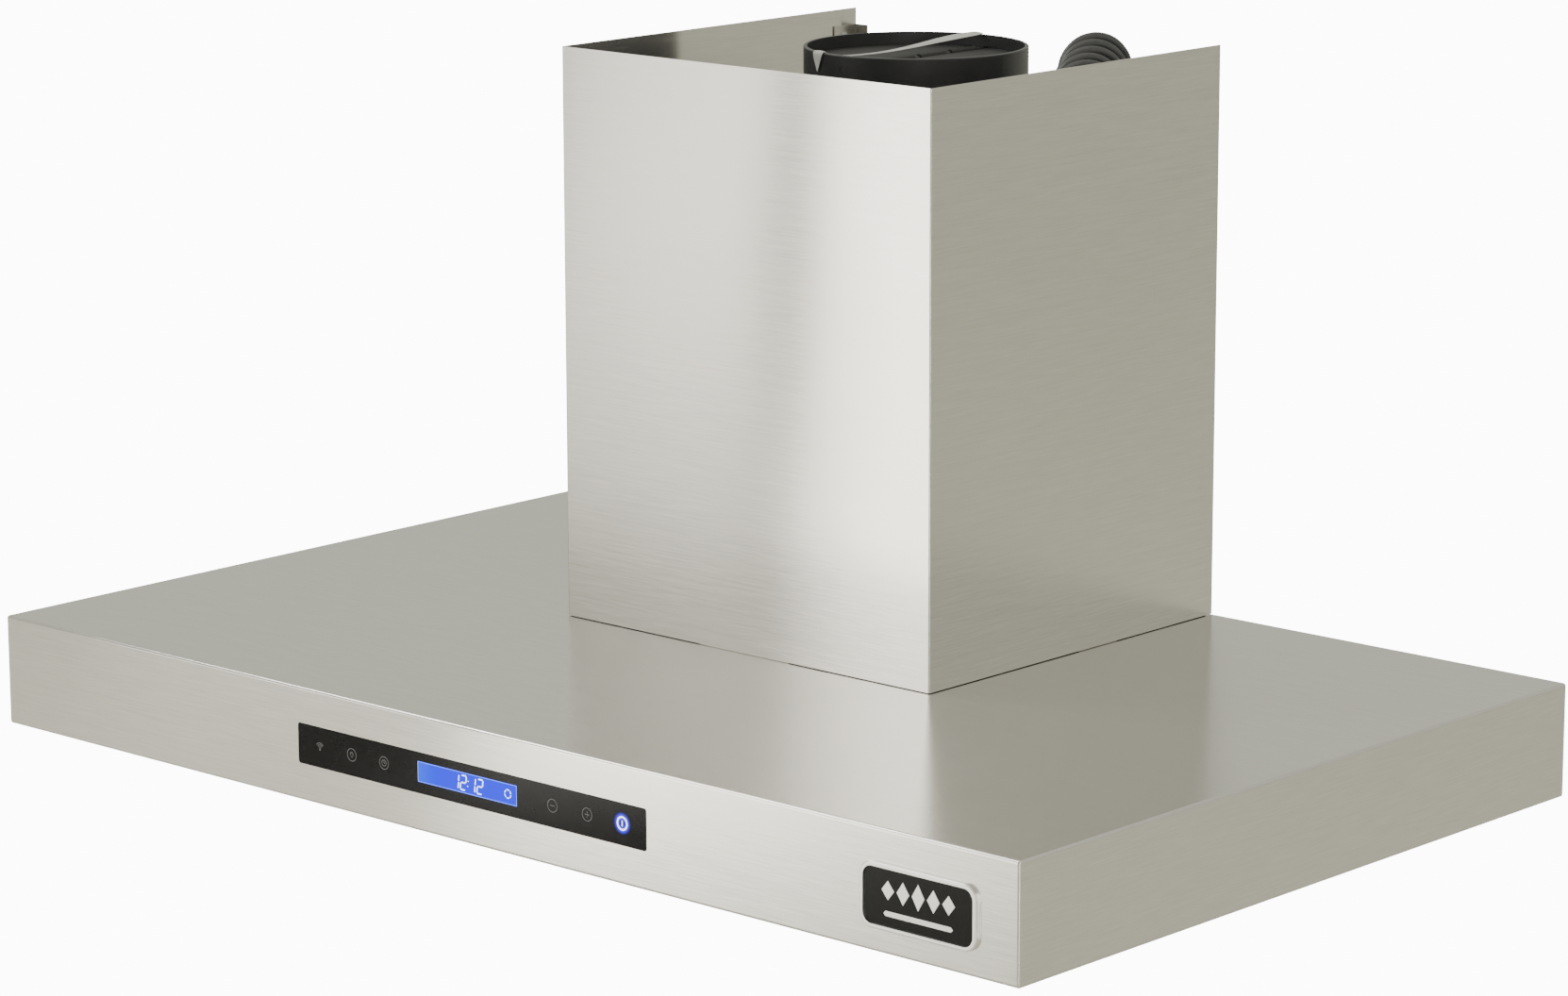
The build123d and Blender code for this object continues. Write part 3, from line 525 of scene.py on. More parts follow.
def printed_glass(name):
    """Toughened glass, printed black on its back: deep, glossy and lightly smudged by fingers."""
    made, tree, shader = new_finish(name, "#060607", 0.05, Specular_IOR_Level=0.12)
    smudges = add_node(
        tree,
        "ShaderNodeTexNoise",
        {"Scale": 1.0, "Detail": 5.0, "Roughness": 0.6},
        {"Vector": object_points(tree, (0.035, 0.035, 0.02))},
    ).outputs["Fac"]
    tree.links.new(spread(tree, smudges, 0.02, 0.14), shader.inputs["Roughness"])
    tree.links.new(shade(tree, smudges, "#08080A", "#18181A"), shader.inputs["Base Color"])
    return made


def enamel(name):
    """Baked black enamel in the badge: smooth, with a faint orange-peel ripple."""
    made, tree, shader = new_finish(name, "#101011", 0.16, Specular_IOR_Level=0.2)
    ripple = add_node(
        tree,
        "ShaderNodeTexNoise",
        {"Scale": 1.0, "Detail": 1.0},
        {"Vector": object_points(tree, (0.003,) * 3)},
    ).outputs["Fac"]
    tree.links.new(shade(tree, ripple, "#0E0E0F", "#161617"), shader.inputs["Base Color"])
    relief(tree, shader, ripple, 0.01 * MM)
    return made


def lit_print(name, colour, strength, darker=None):
    """Ink under the glass with a lamp behind it, a little uneven along each stroke."""
    made, tree, shader = new_finish(name, colour, 0.3, IOR=1.5)
    shader.inputs["Emission Strength"].default_value = strength
    glow = add_node(
        tree,
        "ShaderNodeTexNoise",
        {"Scale": 1.0, "Detail": 1.0},
        {"Vector": object_points(tree, (0.004,) * 3)},
    ).outputs["Fac"]
    tree.links.new(shade(tree, glow, darker or colour, colour), shader.inputs["Emission Color"])
    return made


def backlit_cell(name, settings):
    """The display's lit cell: blue, with a cyan cast at the end where its lamp sits."""
    made, tree, shader = new_finish(name, "#02040C", 0.25, Specular_IOR_Level=0.1)
    shader.inputs["Emission Strength"].default_value = settings.display_strength
    place = add_node(tree, "ShaderNodeTexCoord")
    x = add_node(tree, "ShaderNodeSeparateXYZ", links={0: place.outputs["Object"]}).outputs["X"]
    half = settings.display_width / 2
    end = add_node(
        tree,
        "ShaderNodeMapRange",
        {"From Min": -half, "From Max": -half * 0.55},
        {"Value": x},
        interpolation_type="SMOOTHSTEP",
    ).outputs["Result"]
    cloud = add_node(
        tree,
        "ShaderNodeTexNoise",
        {"Scale": 1.0, "Detail": 2.0},
        {"Vector": object_points(tree, (0.012,) * 3)},
    ).outputs["Fac"]
    body = shade(tree, cloud, "#0000FF", "#0010FF")
    blend = add_node(
        tree,
        "ShaderNodeMix",
        {6: linear("#0048FF")},
        {0: end, 7: body},
        data_type="RGBA",
    )
    tree.links.new(blend.outputs[2], shader.inputs["Emission Color"])
    return made


def frosted_polycarbonate(name):
    """Frosted clear plastic over the lamp: pale, soft and slightly see-through."""
    clearness = {"IOR": 1.58, "Transmission_Weight": 0.35}
    made, tree, shader = new_finish(name, "#E9E8E2", 0.42, **clearness)
    frost = add_node(
        tree,
        "ShaderNodeTexNoise",
        {"Scale": 1.0, "Detail": 2.0},
        {"Vector": object_points(tree, (0.0008,) * 3)},
    ).outputs["Fac"]
    tree.links.new(shade(tree, frost, "#DCDBD4", "#F2F1EC"), shader.inputs["Base Color"])
    relief(tree, shader, frost, 0.03 * MM)
    return made


def soft_pvc(name):
    """Black PVC cord jacket, extruded: satin, with a slight drag along its length."""
    made, tree, shader = new_finish(name, "#333336", 0.36, IOR=1.53)
    drag = add_node(
        tree,
        "ShaderNodeTexNoise",
        {"Scale": 1.0, "Detail": 3.0},
        {"Vector": object_points(tree, (0.004,) * 3)},
    ).outputs["Fac"]
    tree.links.new(shade(tree, drag, "#2D2D30", "#464649"), shader.inputs["Base Color"])
    tree.links.new(spread(tree, drag, 0.34, 0.52), shader.inputs["Roughness"])
    relief(tree, shader, drag, 0.03 * MM)
    return made


def film_tape(name):
    """Clear packing film with a milky bloom, wrinkled where it was pulled tight."""
    made, tree, shader = new_finish(name, "#E6E6E2", 0.28, IOR=1.5, Transmission_Weight=0.45)
    wrinkles = add_node(
        tree,
        "ShaderNodeTexNoise",
        {"Scale": 1.0, "Detail": 3.0},
        {"Vector": object_points(tree, (0.004, 0.03, 0.004))},
    ).outputs["Fac"]
    tree.links.new(shade(tree, wrinkles, "#CFCFCA", "#F6F6F3"), shader.inputs["Base Color"])
    relief(tree, shader, wrinkles, 0.15 * MM)
    return made


# Settings -----------------------------------------------------------------------


class StudioSettings(bpy.types.PropertyGroup):
    """Camera, floor and lights."""

    azimuth: FloatProperty(
        name="Camera azimuth",
        description="Direction of the camera round the hood, from its front towards its right",
        default=math.radians(42.35),
        subtype="ANGLE",
    )
    elevation: FloatProperty(
        name="Camera elevation",
        description="Height of the camera above the horizon",
        default=math.radians(12.17),
        subtype="ANGLE",
    )
    distance: FloatProperty(
        name="Camera distance",
        description="From the camera to the point it looks at",
        default=3.346,
        unit="LENGTH",
    )
    roll: FloatProperty(
        name="Camera roll",
        description="Turn of the camera about its own axis",
        default=math.radians(-0.14),
        subtype="ANGLE",
    )
    lens: FloatProperty(
        name="Focal length",
        description="Focal length in millimetres, on a sensor 36 mm wide",
        default=116.87,
        subtype="NONE",
    )
    aim: FloatVectorProperty(
        name="Aim",
        description="Where the camera looks, from the middle of the hood's box",
        default=(0.0188, 0.0015, -0.0587),
        subtype="TRANSLATION",
        unit="LENGTH",
    )
    floor_drop: FloatProperty(
        name="Floor drop",
        description="How far the floor lies under the canopy",
        default=0.4,
        unit="LENGTH",
    )
    room_colour: FloatVectorProperty(
        name="Room colour",
        description="Colour of the soft light that comes from all round",
        default=linear("#E6E7DA")[:3],
        subtype="COLOR",
    )
    room_strength: FloatProperty(
        name="Room light",
        description="Strength of the light that comes from all round",
        default=0.95,
    )
    key_strength: FloatProperty(
        name="Key light",
        description="Brightness of the lit paper sweep at the front left",
        default=4.2,
    )
    rim_strength: FloatProperty(
        name="Rim light",
        description="Brightness of the soft boxes that the bent edges catch",
        default=9.0,
    )
    side_strength: FloatProperty(
        name="Side light",
        description="Brightness of the soft box over the right side",
        default=1.2,
    )


class SteelSettings(bpy.types.PropertyGroup):
    """Brushed sheet."""

    roughness: FloatProperty(
        name="Roughness",
        description="Gloss of the brushed sheet, lower is shinier",
        default=0.15,
        min=0.05,
        max=1.0,
        subtype="FACTOR",
    )
    anisotropy: FloatProperty(
        name="Anisotropy",
        description="How much more the light spreads across the brush lines than along them",
        default=1.0,
        min=0.0,
        max=1.0,
        subtype="FACTOR",
    )
    line_pitch: FloatProperty(
        name="Line pitch",
        description="Distance between brush lines, drawn coarser than the real 0.08 mm",
        default=0.9 * MM,
        unit="LENGTH",
        precision=5,
    )
    line_length: FloatProperty(
        name="Line length",
        description="Length of a brush line",
        default=35 * MM,
        unit="LENGTH",
        precision=4,
    )
    line_depth: FloatProperty(
        name="Line depth",
        description="Depth of a brush line",
        default=0.008 * MM,
        unit="LENGTH",
        precision=6,
    )
    crown: FloatProperty(
        name="Crown",
        description="How far the middle of the cover's front stands out from its two bends",
        default=1.2 * MM,
        unit="LENGTH",
        precision=4,
    )
    wave_depth: FloatProperty(
        name="Wave depth",
        description="Height of the long shallow waves in the sheet",
        default=0.25 * MM,
        unit="LENGTH",
        precision=5,
    )


class ControlSettings(bpy.types.PropertyGroup):
    """Touch control."""

    clock: StringProperty(
        name="Clock",
        description="Four digits that the display shows",
        default="1212",
    )
    display_width: FloatProperty(
        name="Display width",
        description="Width of the lit part of the display",
        default=89 * MM,
        unit="LENGTH",
    )
    display_height: FloatProperty(
        name="Display height",
        description="Height of the lit part of the display",
        default=13.6 * MM,
        unit="LENGTH",
    )
    display_strength: FloatProperty(
        name="Display brightness",
        description="Strength of the display's own light",
        default=1.75,
    )
    key_radius: FloatProperty(
        name="Key radius",
        description="Radius of the ring round each touch key",
        default=4.1 * MM,
        unit="LENGTH",
        precision=4,
    )
    key_pitch: FloatProperty(
        name="Key pitch",
        description="Distance between touch keys",
        default=30 * MM,
        unit="LENGTH",
    )


class CordSettings(bpy.types.PropertyGroup):
    """Power cord."""

    diameter: FloatProperty(
        name="Diameter",
        description="Diameter of the cord's jacket",
        default=7 * MM,
        unit="LENGTH",
        precision=4,
    )
    turns: IntProperty(
        name="Turns",
        description="Turns of cord in the hank",
        default=5,
        min=2,
    )


class HoodSettings(bpy.types.PropertyGroup):
    """All settings of the range hood scene."""

    studio: PointerProperty(
        type=StudioSettings, name="Studio", description="Camera, floor and lights"
    )
    steel: PointerProperty(type=SteelSettings, name="Steel", description="Brushed sheet")
    control: PointerProperty(type=ControlSettings, name="Control", description="Touch control")
    cord: PointerProperty(type=CordSettings, name="Cord", description="Power cord")


# Operators ----------------------------------------------------------------------


class HOOD_OT_stage(bpy.types.Operator):
    """Camera, pale floor, soft boxes and room light"""

    bl_idname = "hood.stage"
    bl_label = "Studio"

    def execute(self, context):
        settings = context.scene.range_hood.studio
        self.add_camera(context, settings)
        self.add_floor(context, settings)
        self.add_room(context, settings)
        self.add_sweep(context, settings)
        self.add_lights(context, settings)
        return {"FINISHED"}

    def add_camera(self, context, settings):
        """The camera, turned round the middle of the hood's box."""
        middle = (cad_low + cad_high) / 2
        target = middle + Vector(settings.aim)
        back = Vector(
            (
                math.sin(settings.azimuth) * math.cos(settings.elevation),
                -math.cos(settings.azimuth) * math.cos(settings.elevation),
                math.sin(settings.elevation),
            )
        )
        data = bpy.data.cameras.new("camera")
        data.sensor_width = 36
        data.lens = settings.lens
        camera = bpy.data.objects.new("camera", data)
        turn = (-back).to_track_quat("-Z", "Y").to_matrix().to_4x4()
        turn = turn @ Matrix.Rotation(settings.roll, 4, "Z")
        camera.matrix_world = Matrix.Translation(target + back * settings.distance) @ turn
        context.scene.collection.objects.link(camera)
        context.scene.camera = camera

    def add_floor(self, context, settings):
        """A seamless pale floor, which shows as white and lights the hood as matt paint does."""
        mesh = bmesh.new()
        bmesh.ops.create_grid(mesh, x_segments=24, y_segments=24, size=40)
        floor = set_on_stage("floor", mesh)
        floor.location.z = canopy_low.z - settings.floor_drop
        made, tree, shader = new_finish("matt_floor_paint", "#E4E2DA", 0.9)
        output = tree.nodes["Material Output"]
        seen = add_node(tree, "ShaderNodeLightPath")
        shape = add_node(tree, "ShaderNodeNewGeometry")
        white = add_node(tree, "ShaderNodeEmission", {"Strength": WHITE})
        shown = add_node(
            tree,
            "ShaderNodeMixShader",
            links={0: seen.outputs["Is Camera Ray"], 1: shader.outputs[0], 2: white.outputs[0]},
        )
        # From below, the floor isn't in the way of the camera.
        clear = add_node(tree, "ShaderNodeBsdfTransparent")
        under = add_node(
            tree,
            "ShaderNodeMath",
            links={0: seen.outputs["Is Camera Ray"], 1: shape.outputs["Backfacing"]},
            operation="MULTIPLY",
        )
        whole = add_node(
            tree,
            "ShaderNodeMixShader",
            links={0: under.outputs[0], 1: shown.outputs[0], 2: clear.outputs[0]},
        )
        tree.links.new(whole.outputs[0], output.inputs["Surface"])
        floor.data.materials.append(made)

    def add_room(self, context, settings):
        """Soft light from all round, with the faint green of painted walls."""
        world = bpy.data.worlds.new("room")
        world.use_nodes = True
        context.scene.world = world
        tree = world.node_tree
        room = tree.nodes["Background"]
        room.inputs["Color"].default_value = (*settings.room_colour, 1)
        room.inputs["Strength"].default_value = settings.room_strength
        seen = add_node(tree, "ShaderNodeLightPath")
        white = add_node(tree, "ShaderNodeBackground", {"Strength": WHITE})
        both = add_node(
            tree,
            "ShaderNodeMixShader",
            links={0: seen.outputs["Is Camera Ray"], 1: room.outputs[0], 2: white.outputs[0]},
        )
        tree.links.new(both.outputs[0], tree.nodes["World Output"].inputs["Surface"])

    def add_sweep(self, context, settings):
        """A lit paper sweep at the front left, which the front faces mirror.

        It is brighter to one side, with a soft gap where two of its lamps meet.
        """
        centre = Vector((0, front_y / 2, 0))
        floor = canopy_low.z - settings.floor_drop
        near, far, high = 1, 2, 3
        profile = (
            # Distance from the hood, height over the floor, part of the sweep, its share, and how
            # many degrees the sheet is skewed
            (1.60, 0.005, near, 0.0, 0.45),
            (1.85, 0.005, near, 1.0, 0.45),
            (2.20, 0.005, near, 1.0, 0.40),
            (2.62, 0.02, near, 1.2, 0.25),
            (2.80, 0.07, near, 1.4, 0.10),
            (2.90, 0.19, far, 1.0, 0.00),
            (2.93, 0.38, far, 1.0, -0.10),
            (2.95, 0.62, far, 1.0, -0.25),
            (2.95, 0.90, high, 1.0, -0.30),
            (2.95, 1.90, high, 0.6, -0.30),
        )
        stops = (
            # Degrees from the front towards the left, and how bright it is near, far and high
            (18.0, 0.00, 0.10, 0.10),
            (26.0, 0.45, 0.60, 0.50),
            (34.0, 0.66, 1.00, 0.90),
            (37.4, 0.60, 1.15, 1.10),
            (39.4, 0.34, 1.00, 1.00),
            (40.4, 0.16, 0.10, 0.30),
            (41.3, 0.06, 0.10, 0.10),
            (42.1, 0.02, 0.64, 0.10),
            (43.6, 0.00, 0.66, 0.06),
            (45.0, 0.00, 0.60, 0.04),
            (46.4, 0.00, 0.52, 0.02),
            (48.2, 0.00, 0.45, 0.00),
            (49.6, 0.00, 0.06, 0.00),
            (60.0, 0.00, 0.00, 0.00),
        )
        mesh = bmesh.new()
        glow = mesh.loops.layers.float_color.new("glow")
        columns = []
        steps = 168
        first, last = stops[0][0], stops[-1][0]
        for i in range(steps + 1):
            angle = first + (last - first) * i / steps
            k = max(n for n in range(len(stops) - 1) if stops[n][0] <= angle)
            share = (angle - stops[k][0]) / (stops[k + 1][0] - stops[k][0])
            share = share * share * (3 - 2 * share)
            levels = [a + (b - a) * share for a, b in zip(stops[k], stops[k + 1])]
            column = []
            for r, z, part, portion, skew in profile:
                turn = math.radians(angle + skew)
                place = centre + Vector((-r * math.sin(turn), -r * math.cos(turn), floor + z))
                column.append((mesh.verts.new(place), levels[part] * portion))
            columns.append(column)
        for a, b in zip(columns, columns[1:]):
            for k in range(len(profile) - 1):
                corners = (a[k], b[k], b[k + 1], a[k + 1])
                face = mesh.faces.new([vertex for vertex, _ in corners])
                for loop, (_, bright) in zip(face.loops, corners):
                    loop[glow] = (bright, bright, bright, 1)
        sweep = set_on_stage("paper_sweep", mesh)
        sweep.visible_camera = False
        sweep.visible_shadow = False
        made, tree, shader = new_finish("lit_paper", "#FFFFFF", 0.9)
        tree.nodes.remove(shader)
        tone = add_node(tree, "ShaderNodeVertexColor", layer_name="glow")
        strength = add_node(
            tree,
            "ShaderNodeMath",
            {1: settings.key_strength},
            {0: tone.outputs["Color"]},
            operation="MULTIPLY",
        )
        lamp = add_node(
            tree,
            "ShaderNodeEmission",
            {"Color": linear("#FFFDF8")},
            {"Strength": strength.outputs[0]},
        )
        clear = add_node(tree, "ShaderNodeBsdfTransparent")
        both = add_node(
            tree, "ShaderNodeAddShader", links={0: lamp.outputs[0], 1: clear.outputs[0]}
        )
        tree.links.new(both.outputs[0], tree.nodes["Material Output"].inputs["Surface"])
        sweep.data.materials.append(made)

    def add_lights(self, context, settings):
        """Each light is a soft box: where it stands, its size, its brightness and its colour."""
        for name, place, size, brightness, colour in (
            ("high_left_box", (-2.1, -1.2, 2.5), 1.1, settings.rim_strength, "#FFFFFF"),
            ("camera_box", (2.75, -2.75, 0.9), 0.8, settings.rim_strength * 0.8, "#FFFDF8"),
            ("low_front_box", (1.75, -2.15, -0.2), 0.34, settings.rim_strength * 1.6, "#FFFFFF"),
            ("side_box", (3.2, 0.9, 2.2), 1.6, settings.side_strength, "#FFF8E4"),
            ("top_box", (0.2, -0.4, 3.0), 1.6, settings.side_strength, "#FFFAE8"),
        ):
            data = bpy.data.lights.new(name, "AREA")
            data.shape = "SQUARE"
            data.size = size
            data.energy = brightness * math.pi * size * size
            data.color = linear(colour)[:3]
            light = bpy.data.objects.new(name, data)
            toward = Vector((0, front_y / 2, canopy_high.z)) - Vector(place)
            light.matrix_world = (
                Matrix.Translation(place) @ toward.to_track_quat("-Z", "Y").to_matrix().to_4x4()
            )
            light.visible_camera = False
            context.scene.collection.objects.link(light)


class HOOD_OT_power_cord(bpy.types.Operator):
    """Power cord: its lead, its hank beside the collar and its tail to the plug"""

    bl_idname = "hood.power_cord"
    bl_label = "Power cord"

    def execute(self, context):
        settings = context.scene.range_hood.cord
        radius = settings.diameter / 2
        exit_point = (gland_low + gland_high) / 2
        exit_point.z = gland_high.z
        turns = self.hank_turns(settings, radius)
        plug_low, plug_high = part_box("plug_body")
        plug = (plug_low + plug_high) / 2
        plug.x = plug_high.x
        points = [
            exit_point,
            exit_point + Vector((0, 0, 0.033)),
            exit_point + Vector((0.001, 0.010, 0.067)),
            exit_point + Vector((0.003, 0.040, 0.083)),
            exit_point + Vector((0.004, 0.073, 0.073)),
            exit_point + Vector((0.0035, 0.105, 0.0605)),
            Vector((turns[0].x - 0.013, turns[0].y - 0.0225, housing_top + radius + 0.0012)),
            *turns,
            *self.tail(turns[-1], plug),
        ]
        curve = bpy.data.curves.new("power_cord", "CURVE")
        curve.dimensions = "3D"
        curve.bevel_depth = radius
        curve.bevel_resolution = 5
        curve.resolution_u = 6
        curve.use_fill_caps = True
        line = curve.splines.new("NURBS")
        line.points.add(len(points) - 1)
        for point, place in zip(line.points, points):
            point.co = (*place, 1)
        line.order_u = 3
        line.use_endpoint_u = True
        curve.materials.append(soft_pvc("soft_pvc_jacket"))
        cord = bpy.data.objects.new("power_cord", curve)
        context.scene.collection.objects.link(cord)
        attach(cord, "root")
        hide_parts("power_cord_lead", "power_cord_hank", "power_cord_tail")
        boot = self.strain_relief(exit_point)
        self.tie(settings)
        rubber = moulded_plastic("moulded_rubber_plug", "#161617", "#222224", 0.5, 0.8, 0.03)
        paint(["plug_body"], rubber)
        paint(["plug_blades"], plated_steel("brass_blade", "#D9B56A", "#B89148", 0.25))
        return {"FINISHED"}

    def hank_place(self, along, across, height):
        """A point of the hank, which stands turned a little towards the hood's front."""
        middle = (hank_low + hank_high) / 2
        return Vector(
            (
                middle.x + along * math.cos(HANK_TURN) + across * math.sin(HANK_TURN),
                middle.y - along * math.sin(HANK_TURN) + across * math.cos(HANK_TURN),
                hank_low.z + height,
            )
        )

    def loop_point(self, part, half, straight):
        """Sideways and up from the lowest point of a long loop, at a part of the way round it."""
        quarter = math.pi * half / 2
        way = part * 4 * (quarter + straight)
        if way < quarter:
            angle = way / half
            return half * math.sin(angle), half * (1 - math.cos(angle))
        way -= quarter
        if way < 2 * straight:
            return half, half + way
        way -= 2 * straight
        if way < 2 * quarter:
            angle = way / half
            return half * math.cos(angle), half + 2 * straight + half * math.sin(angle)
        way -= 2 * quarter
        if way < 2 * straight:
            return -half, half + 2 * straight - way
        angle = (way - 2 * straight) / half
        return -half * math.cos(angle), half * (1 - math.sin(angle))

    def hank_turns(self, settings, radius):
        """The turns stand one behind another, and each is a little taller and further right."""
        per_turn = 24
        half = 0.0238
        lift = radius + 0.0006
        top = hank_high.z - hank_low.z - radius - lift
        points = []
        for i in range(per_turn * settings.turns + 1):
            share = i / (per_turn * settings.turns)
            height = top - 0.018 * (1 - share)
            side, rise = self.loop_point(i % per_turn / per_turn, half, height / 2 - half)
            # Nothing holds the turns at the top, where they part by half a millimetre or so.
            slack = 0.0006 * rise / height * math.sin(17 * share + 0.7)
            along = 0.5 * settings.turns * settings.diameter * (1 - 2 * share)
            across = side + slack - 0.013 + 0.022 * share
            points.append(self.hank_place(along, across, rise + lift))
        return points

    def tail(self, start, plug):
        """One wide bend from the last turn's lowest point, round to the back of the plug."""
        bend = 0.0242
        heading = math.pi / 2 - HANK_TURN
        centre = start + Vector((-math.sin(heading), math.cos(heading), 0)) * bend
        points = []
        for degrees, rise in ((78, 0.0004), (106, 0.0010), (134, 0.0024), (162, 0.0048)):
            angle = math.radians(degrees)
            spoke = Vector((math.sin(angle), -math.cos(angle), 0)) * bend * 1.03
            points.append(centre + spoke + Vector((0, 0, rise)))
        return [*points, plug + Vector((0.012, -0.0012, -0.0012)), plug]

    def tie(self, settings):
        """A flat nylon tie pulled round all the turns at their front side."""
        half_run = 0.5 * settings.turns * settings.diameter + 0.001
        thick = settings.diameter / 2 + 0.0012
        height = 0.036
        mesh = bmesh.new()
        rows = []
        steps = 44
        for i in range(steps):
            angle = 2 * math.pi * i / steps
            along = half_run * max(-1.0, min(1.0, 1.5 * math.cos(angle))) + thick * math.cos(angle)
            across = thick * math.sin(angle)
            shift = -0.0258 - 0.0110 * along / half_run
            inner = self.hank_place(along * 0.96, across * 0.86 + shift, 0)
            outer = self.hank_place(along, across + shift, 0)
            row = []
            for place, low in ((outer, 0), (outer, 0.005), (inner, 0.005), (inner, 0)):
                row.append(mesh.verts.new(place + Vector((0, 0, height + low))))
            rows.append(row)
        for a, b in zip(rows, rows[1:] + rows[:1]):
            for k in range(4):
                mesh.faces.new((a[k], a[(k + 1) % 4], b[(k + 1) % 4], b[k]))
        bmesh.ops.recalc_face_normals(mesh, faces=mesh.faces)
        nylon = moulded_plastic("nylon_tie", "#1A1A1B", "#29292B", 0.35, 1.2, 0.02)
        made = piece("hank_tie", mesh, nylon)
        smooth(made, 45)
        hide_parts("cord_tie")
        return made

    def length(self, points):
        """The length of the quadratic spline that the points control."""
        total = 0.0
        for i in range(len(points) - 2):
            start = points[i] if i == 0 else (points[i] + points[i + 1]) / 2
            end = points[i + 2] if i == len(points) - 3 else (points[i + 1] + points[i + 2]) / 2
            last = start
            for k in range(1, 9):
                t = k / 8
                place = start * (1 - t) ** 2 + points[i + 1] * 2 * t * (1 - t) + end * t**2
                total += (place - last).length
                last = place
        return total

    def strain_relief(self, exit_point):
        """A ribbed, tapered rubber boot where the cord leaves the control box."""
        height = gland_high.z - gland_low.z
        foot = (gland_high.x - gland_low.x) / 2
        tip = 0.0047
        profile = [(0, 0), (foot, 0), (foot, 0.16 * height), (foot * 0.8, 0.2 * height)]
        ribs = 5
        for i in range(ribs):
            low = 0.2 + 0.75 * i / ribs
            at = foot * 0.8 + (tip - foot * 0.8) * i / ribs
            step = 0.75 / ribs
            profile += [
                (at, (low + 0.1 * step) * height),
                (at, (low + 0.6 * step) * height),
                (at - 0.0011, (low + 0.7 * step) * height),
                (at - 0.0011, (low + 0.9 * step) * height),
            ]
        profile += [(tip, 0.97 * height), (tip - 0.0005, height), (0, height)]
        mesh = turned(profile)
        base = exit_point - Vector((0, 0, height))
        bmesh.ops.translate(mesh, verts=mesh.verts, vec=base)
        rubber = moulded_plastic("moulded_rubber_boot", "#141415", "#1F1F20", 0.5, 0.8, 0.03)
        boot = piece("strain_relief_boot", mesh, rubber)
        smooth(boot, 35)
        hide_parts("cord_gland")
        return boot


class HOOD_OT_sheet_steel(bpy.types.Operator):
    """Canopy, chimney cover, liner, filters and the plates behind them"""

    bl_idname = "hood.sheet_steel"
    bl_label = "Sheet steel"

    def execute(self, context):
        settings = context.scene.range_hood.steel
        paint(["canopy_shell"], brushed_stainless("brushed_stainless_canopy", settings))
        cover_low, cover_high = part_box("chimney_cover")
        half_width = (cover_high.x - cover_low.x) / 2
        cover = brushed_stainless("brushed_stainless_cover", settings, settings.crown, half_width)
        paint(["chimney_cover"], cover)
        mill = mill_stainless("mill_stainless")
        paint(["intake_liner", "chimney_brackets", "chimney_clips"], mill)
        frames = ["filter_%d_%s" % (n, part) for n in (1, 2, 3) for part in ("frame", "baffles")]
        paint(frames, mill_stainless("satin_stainless_filter", 0.27))
        handles = ["filter_%d_handle" % n for n in (1, 2, 3)]
        paint(handles, plated_steel("polished_handle", "#D8D6D2", "#C4C2BE", 0.14))
        springs = ["filter_%d_spring" % n for n in (1, 2, 3)]
        paint(springs, plated_steel("spring_steel", "#A9AAAC", "#8C8D90", 0.24))
        return {"FINISHED"}


class HOOD_OT_blower(bpy.types.Operator):
    """Blower housing, scroll, wheel, motor and wall plate"""

    bl_idname = "hood.blower"
    bl_label = "Blower"

    def execute(self, context):
        zinc = galvanised_steel("galvanised_sheet")
        paint(
            [
                "wall_plate",
                "blower_housing",
                "housing_cover",
                "scroll_wrap",
                "scroll_side_left",
                "scroll_side_right",
                "motor_bracket",
                "control_box",
                "control_box_lid",
            ],
            zinc,
        )
        wheel = moulded_plastic("painted_wheel", "#3A3C3F", "#4A4C50", 0.45, 1.5, 0.02)
        paint(["impeller"], wheel)
        paint(["impeller_shaft"], plated_steel("ground_shaft", "#C9CACB", "#AEB0B2", 0.16))
        motor = moulded_plastic("motor_paint", "#26282A", "#313336", 0.38, 1.5, 0.03)
        paint(["motor_can"], motor)
        return {"FINISHED"}


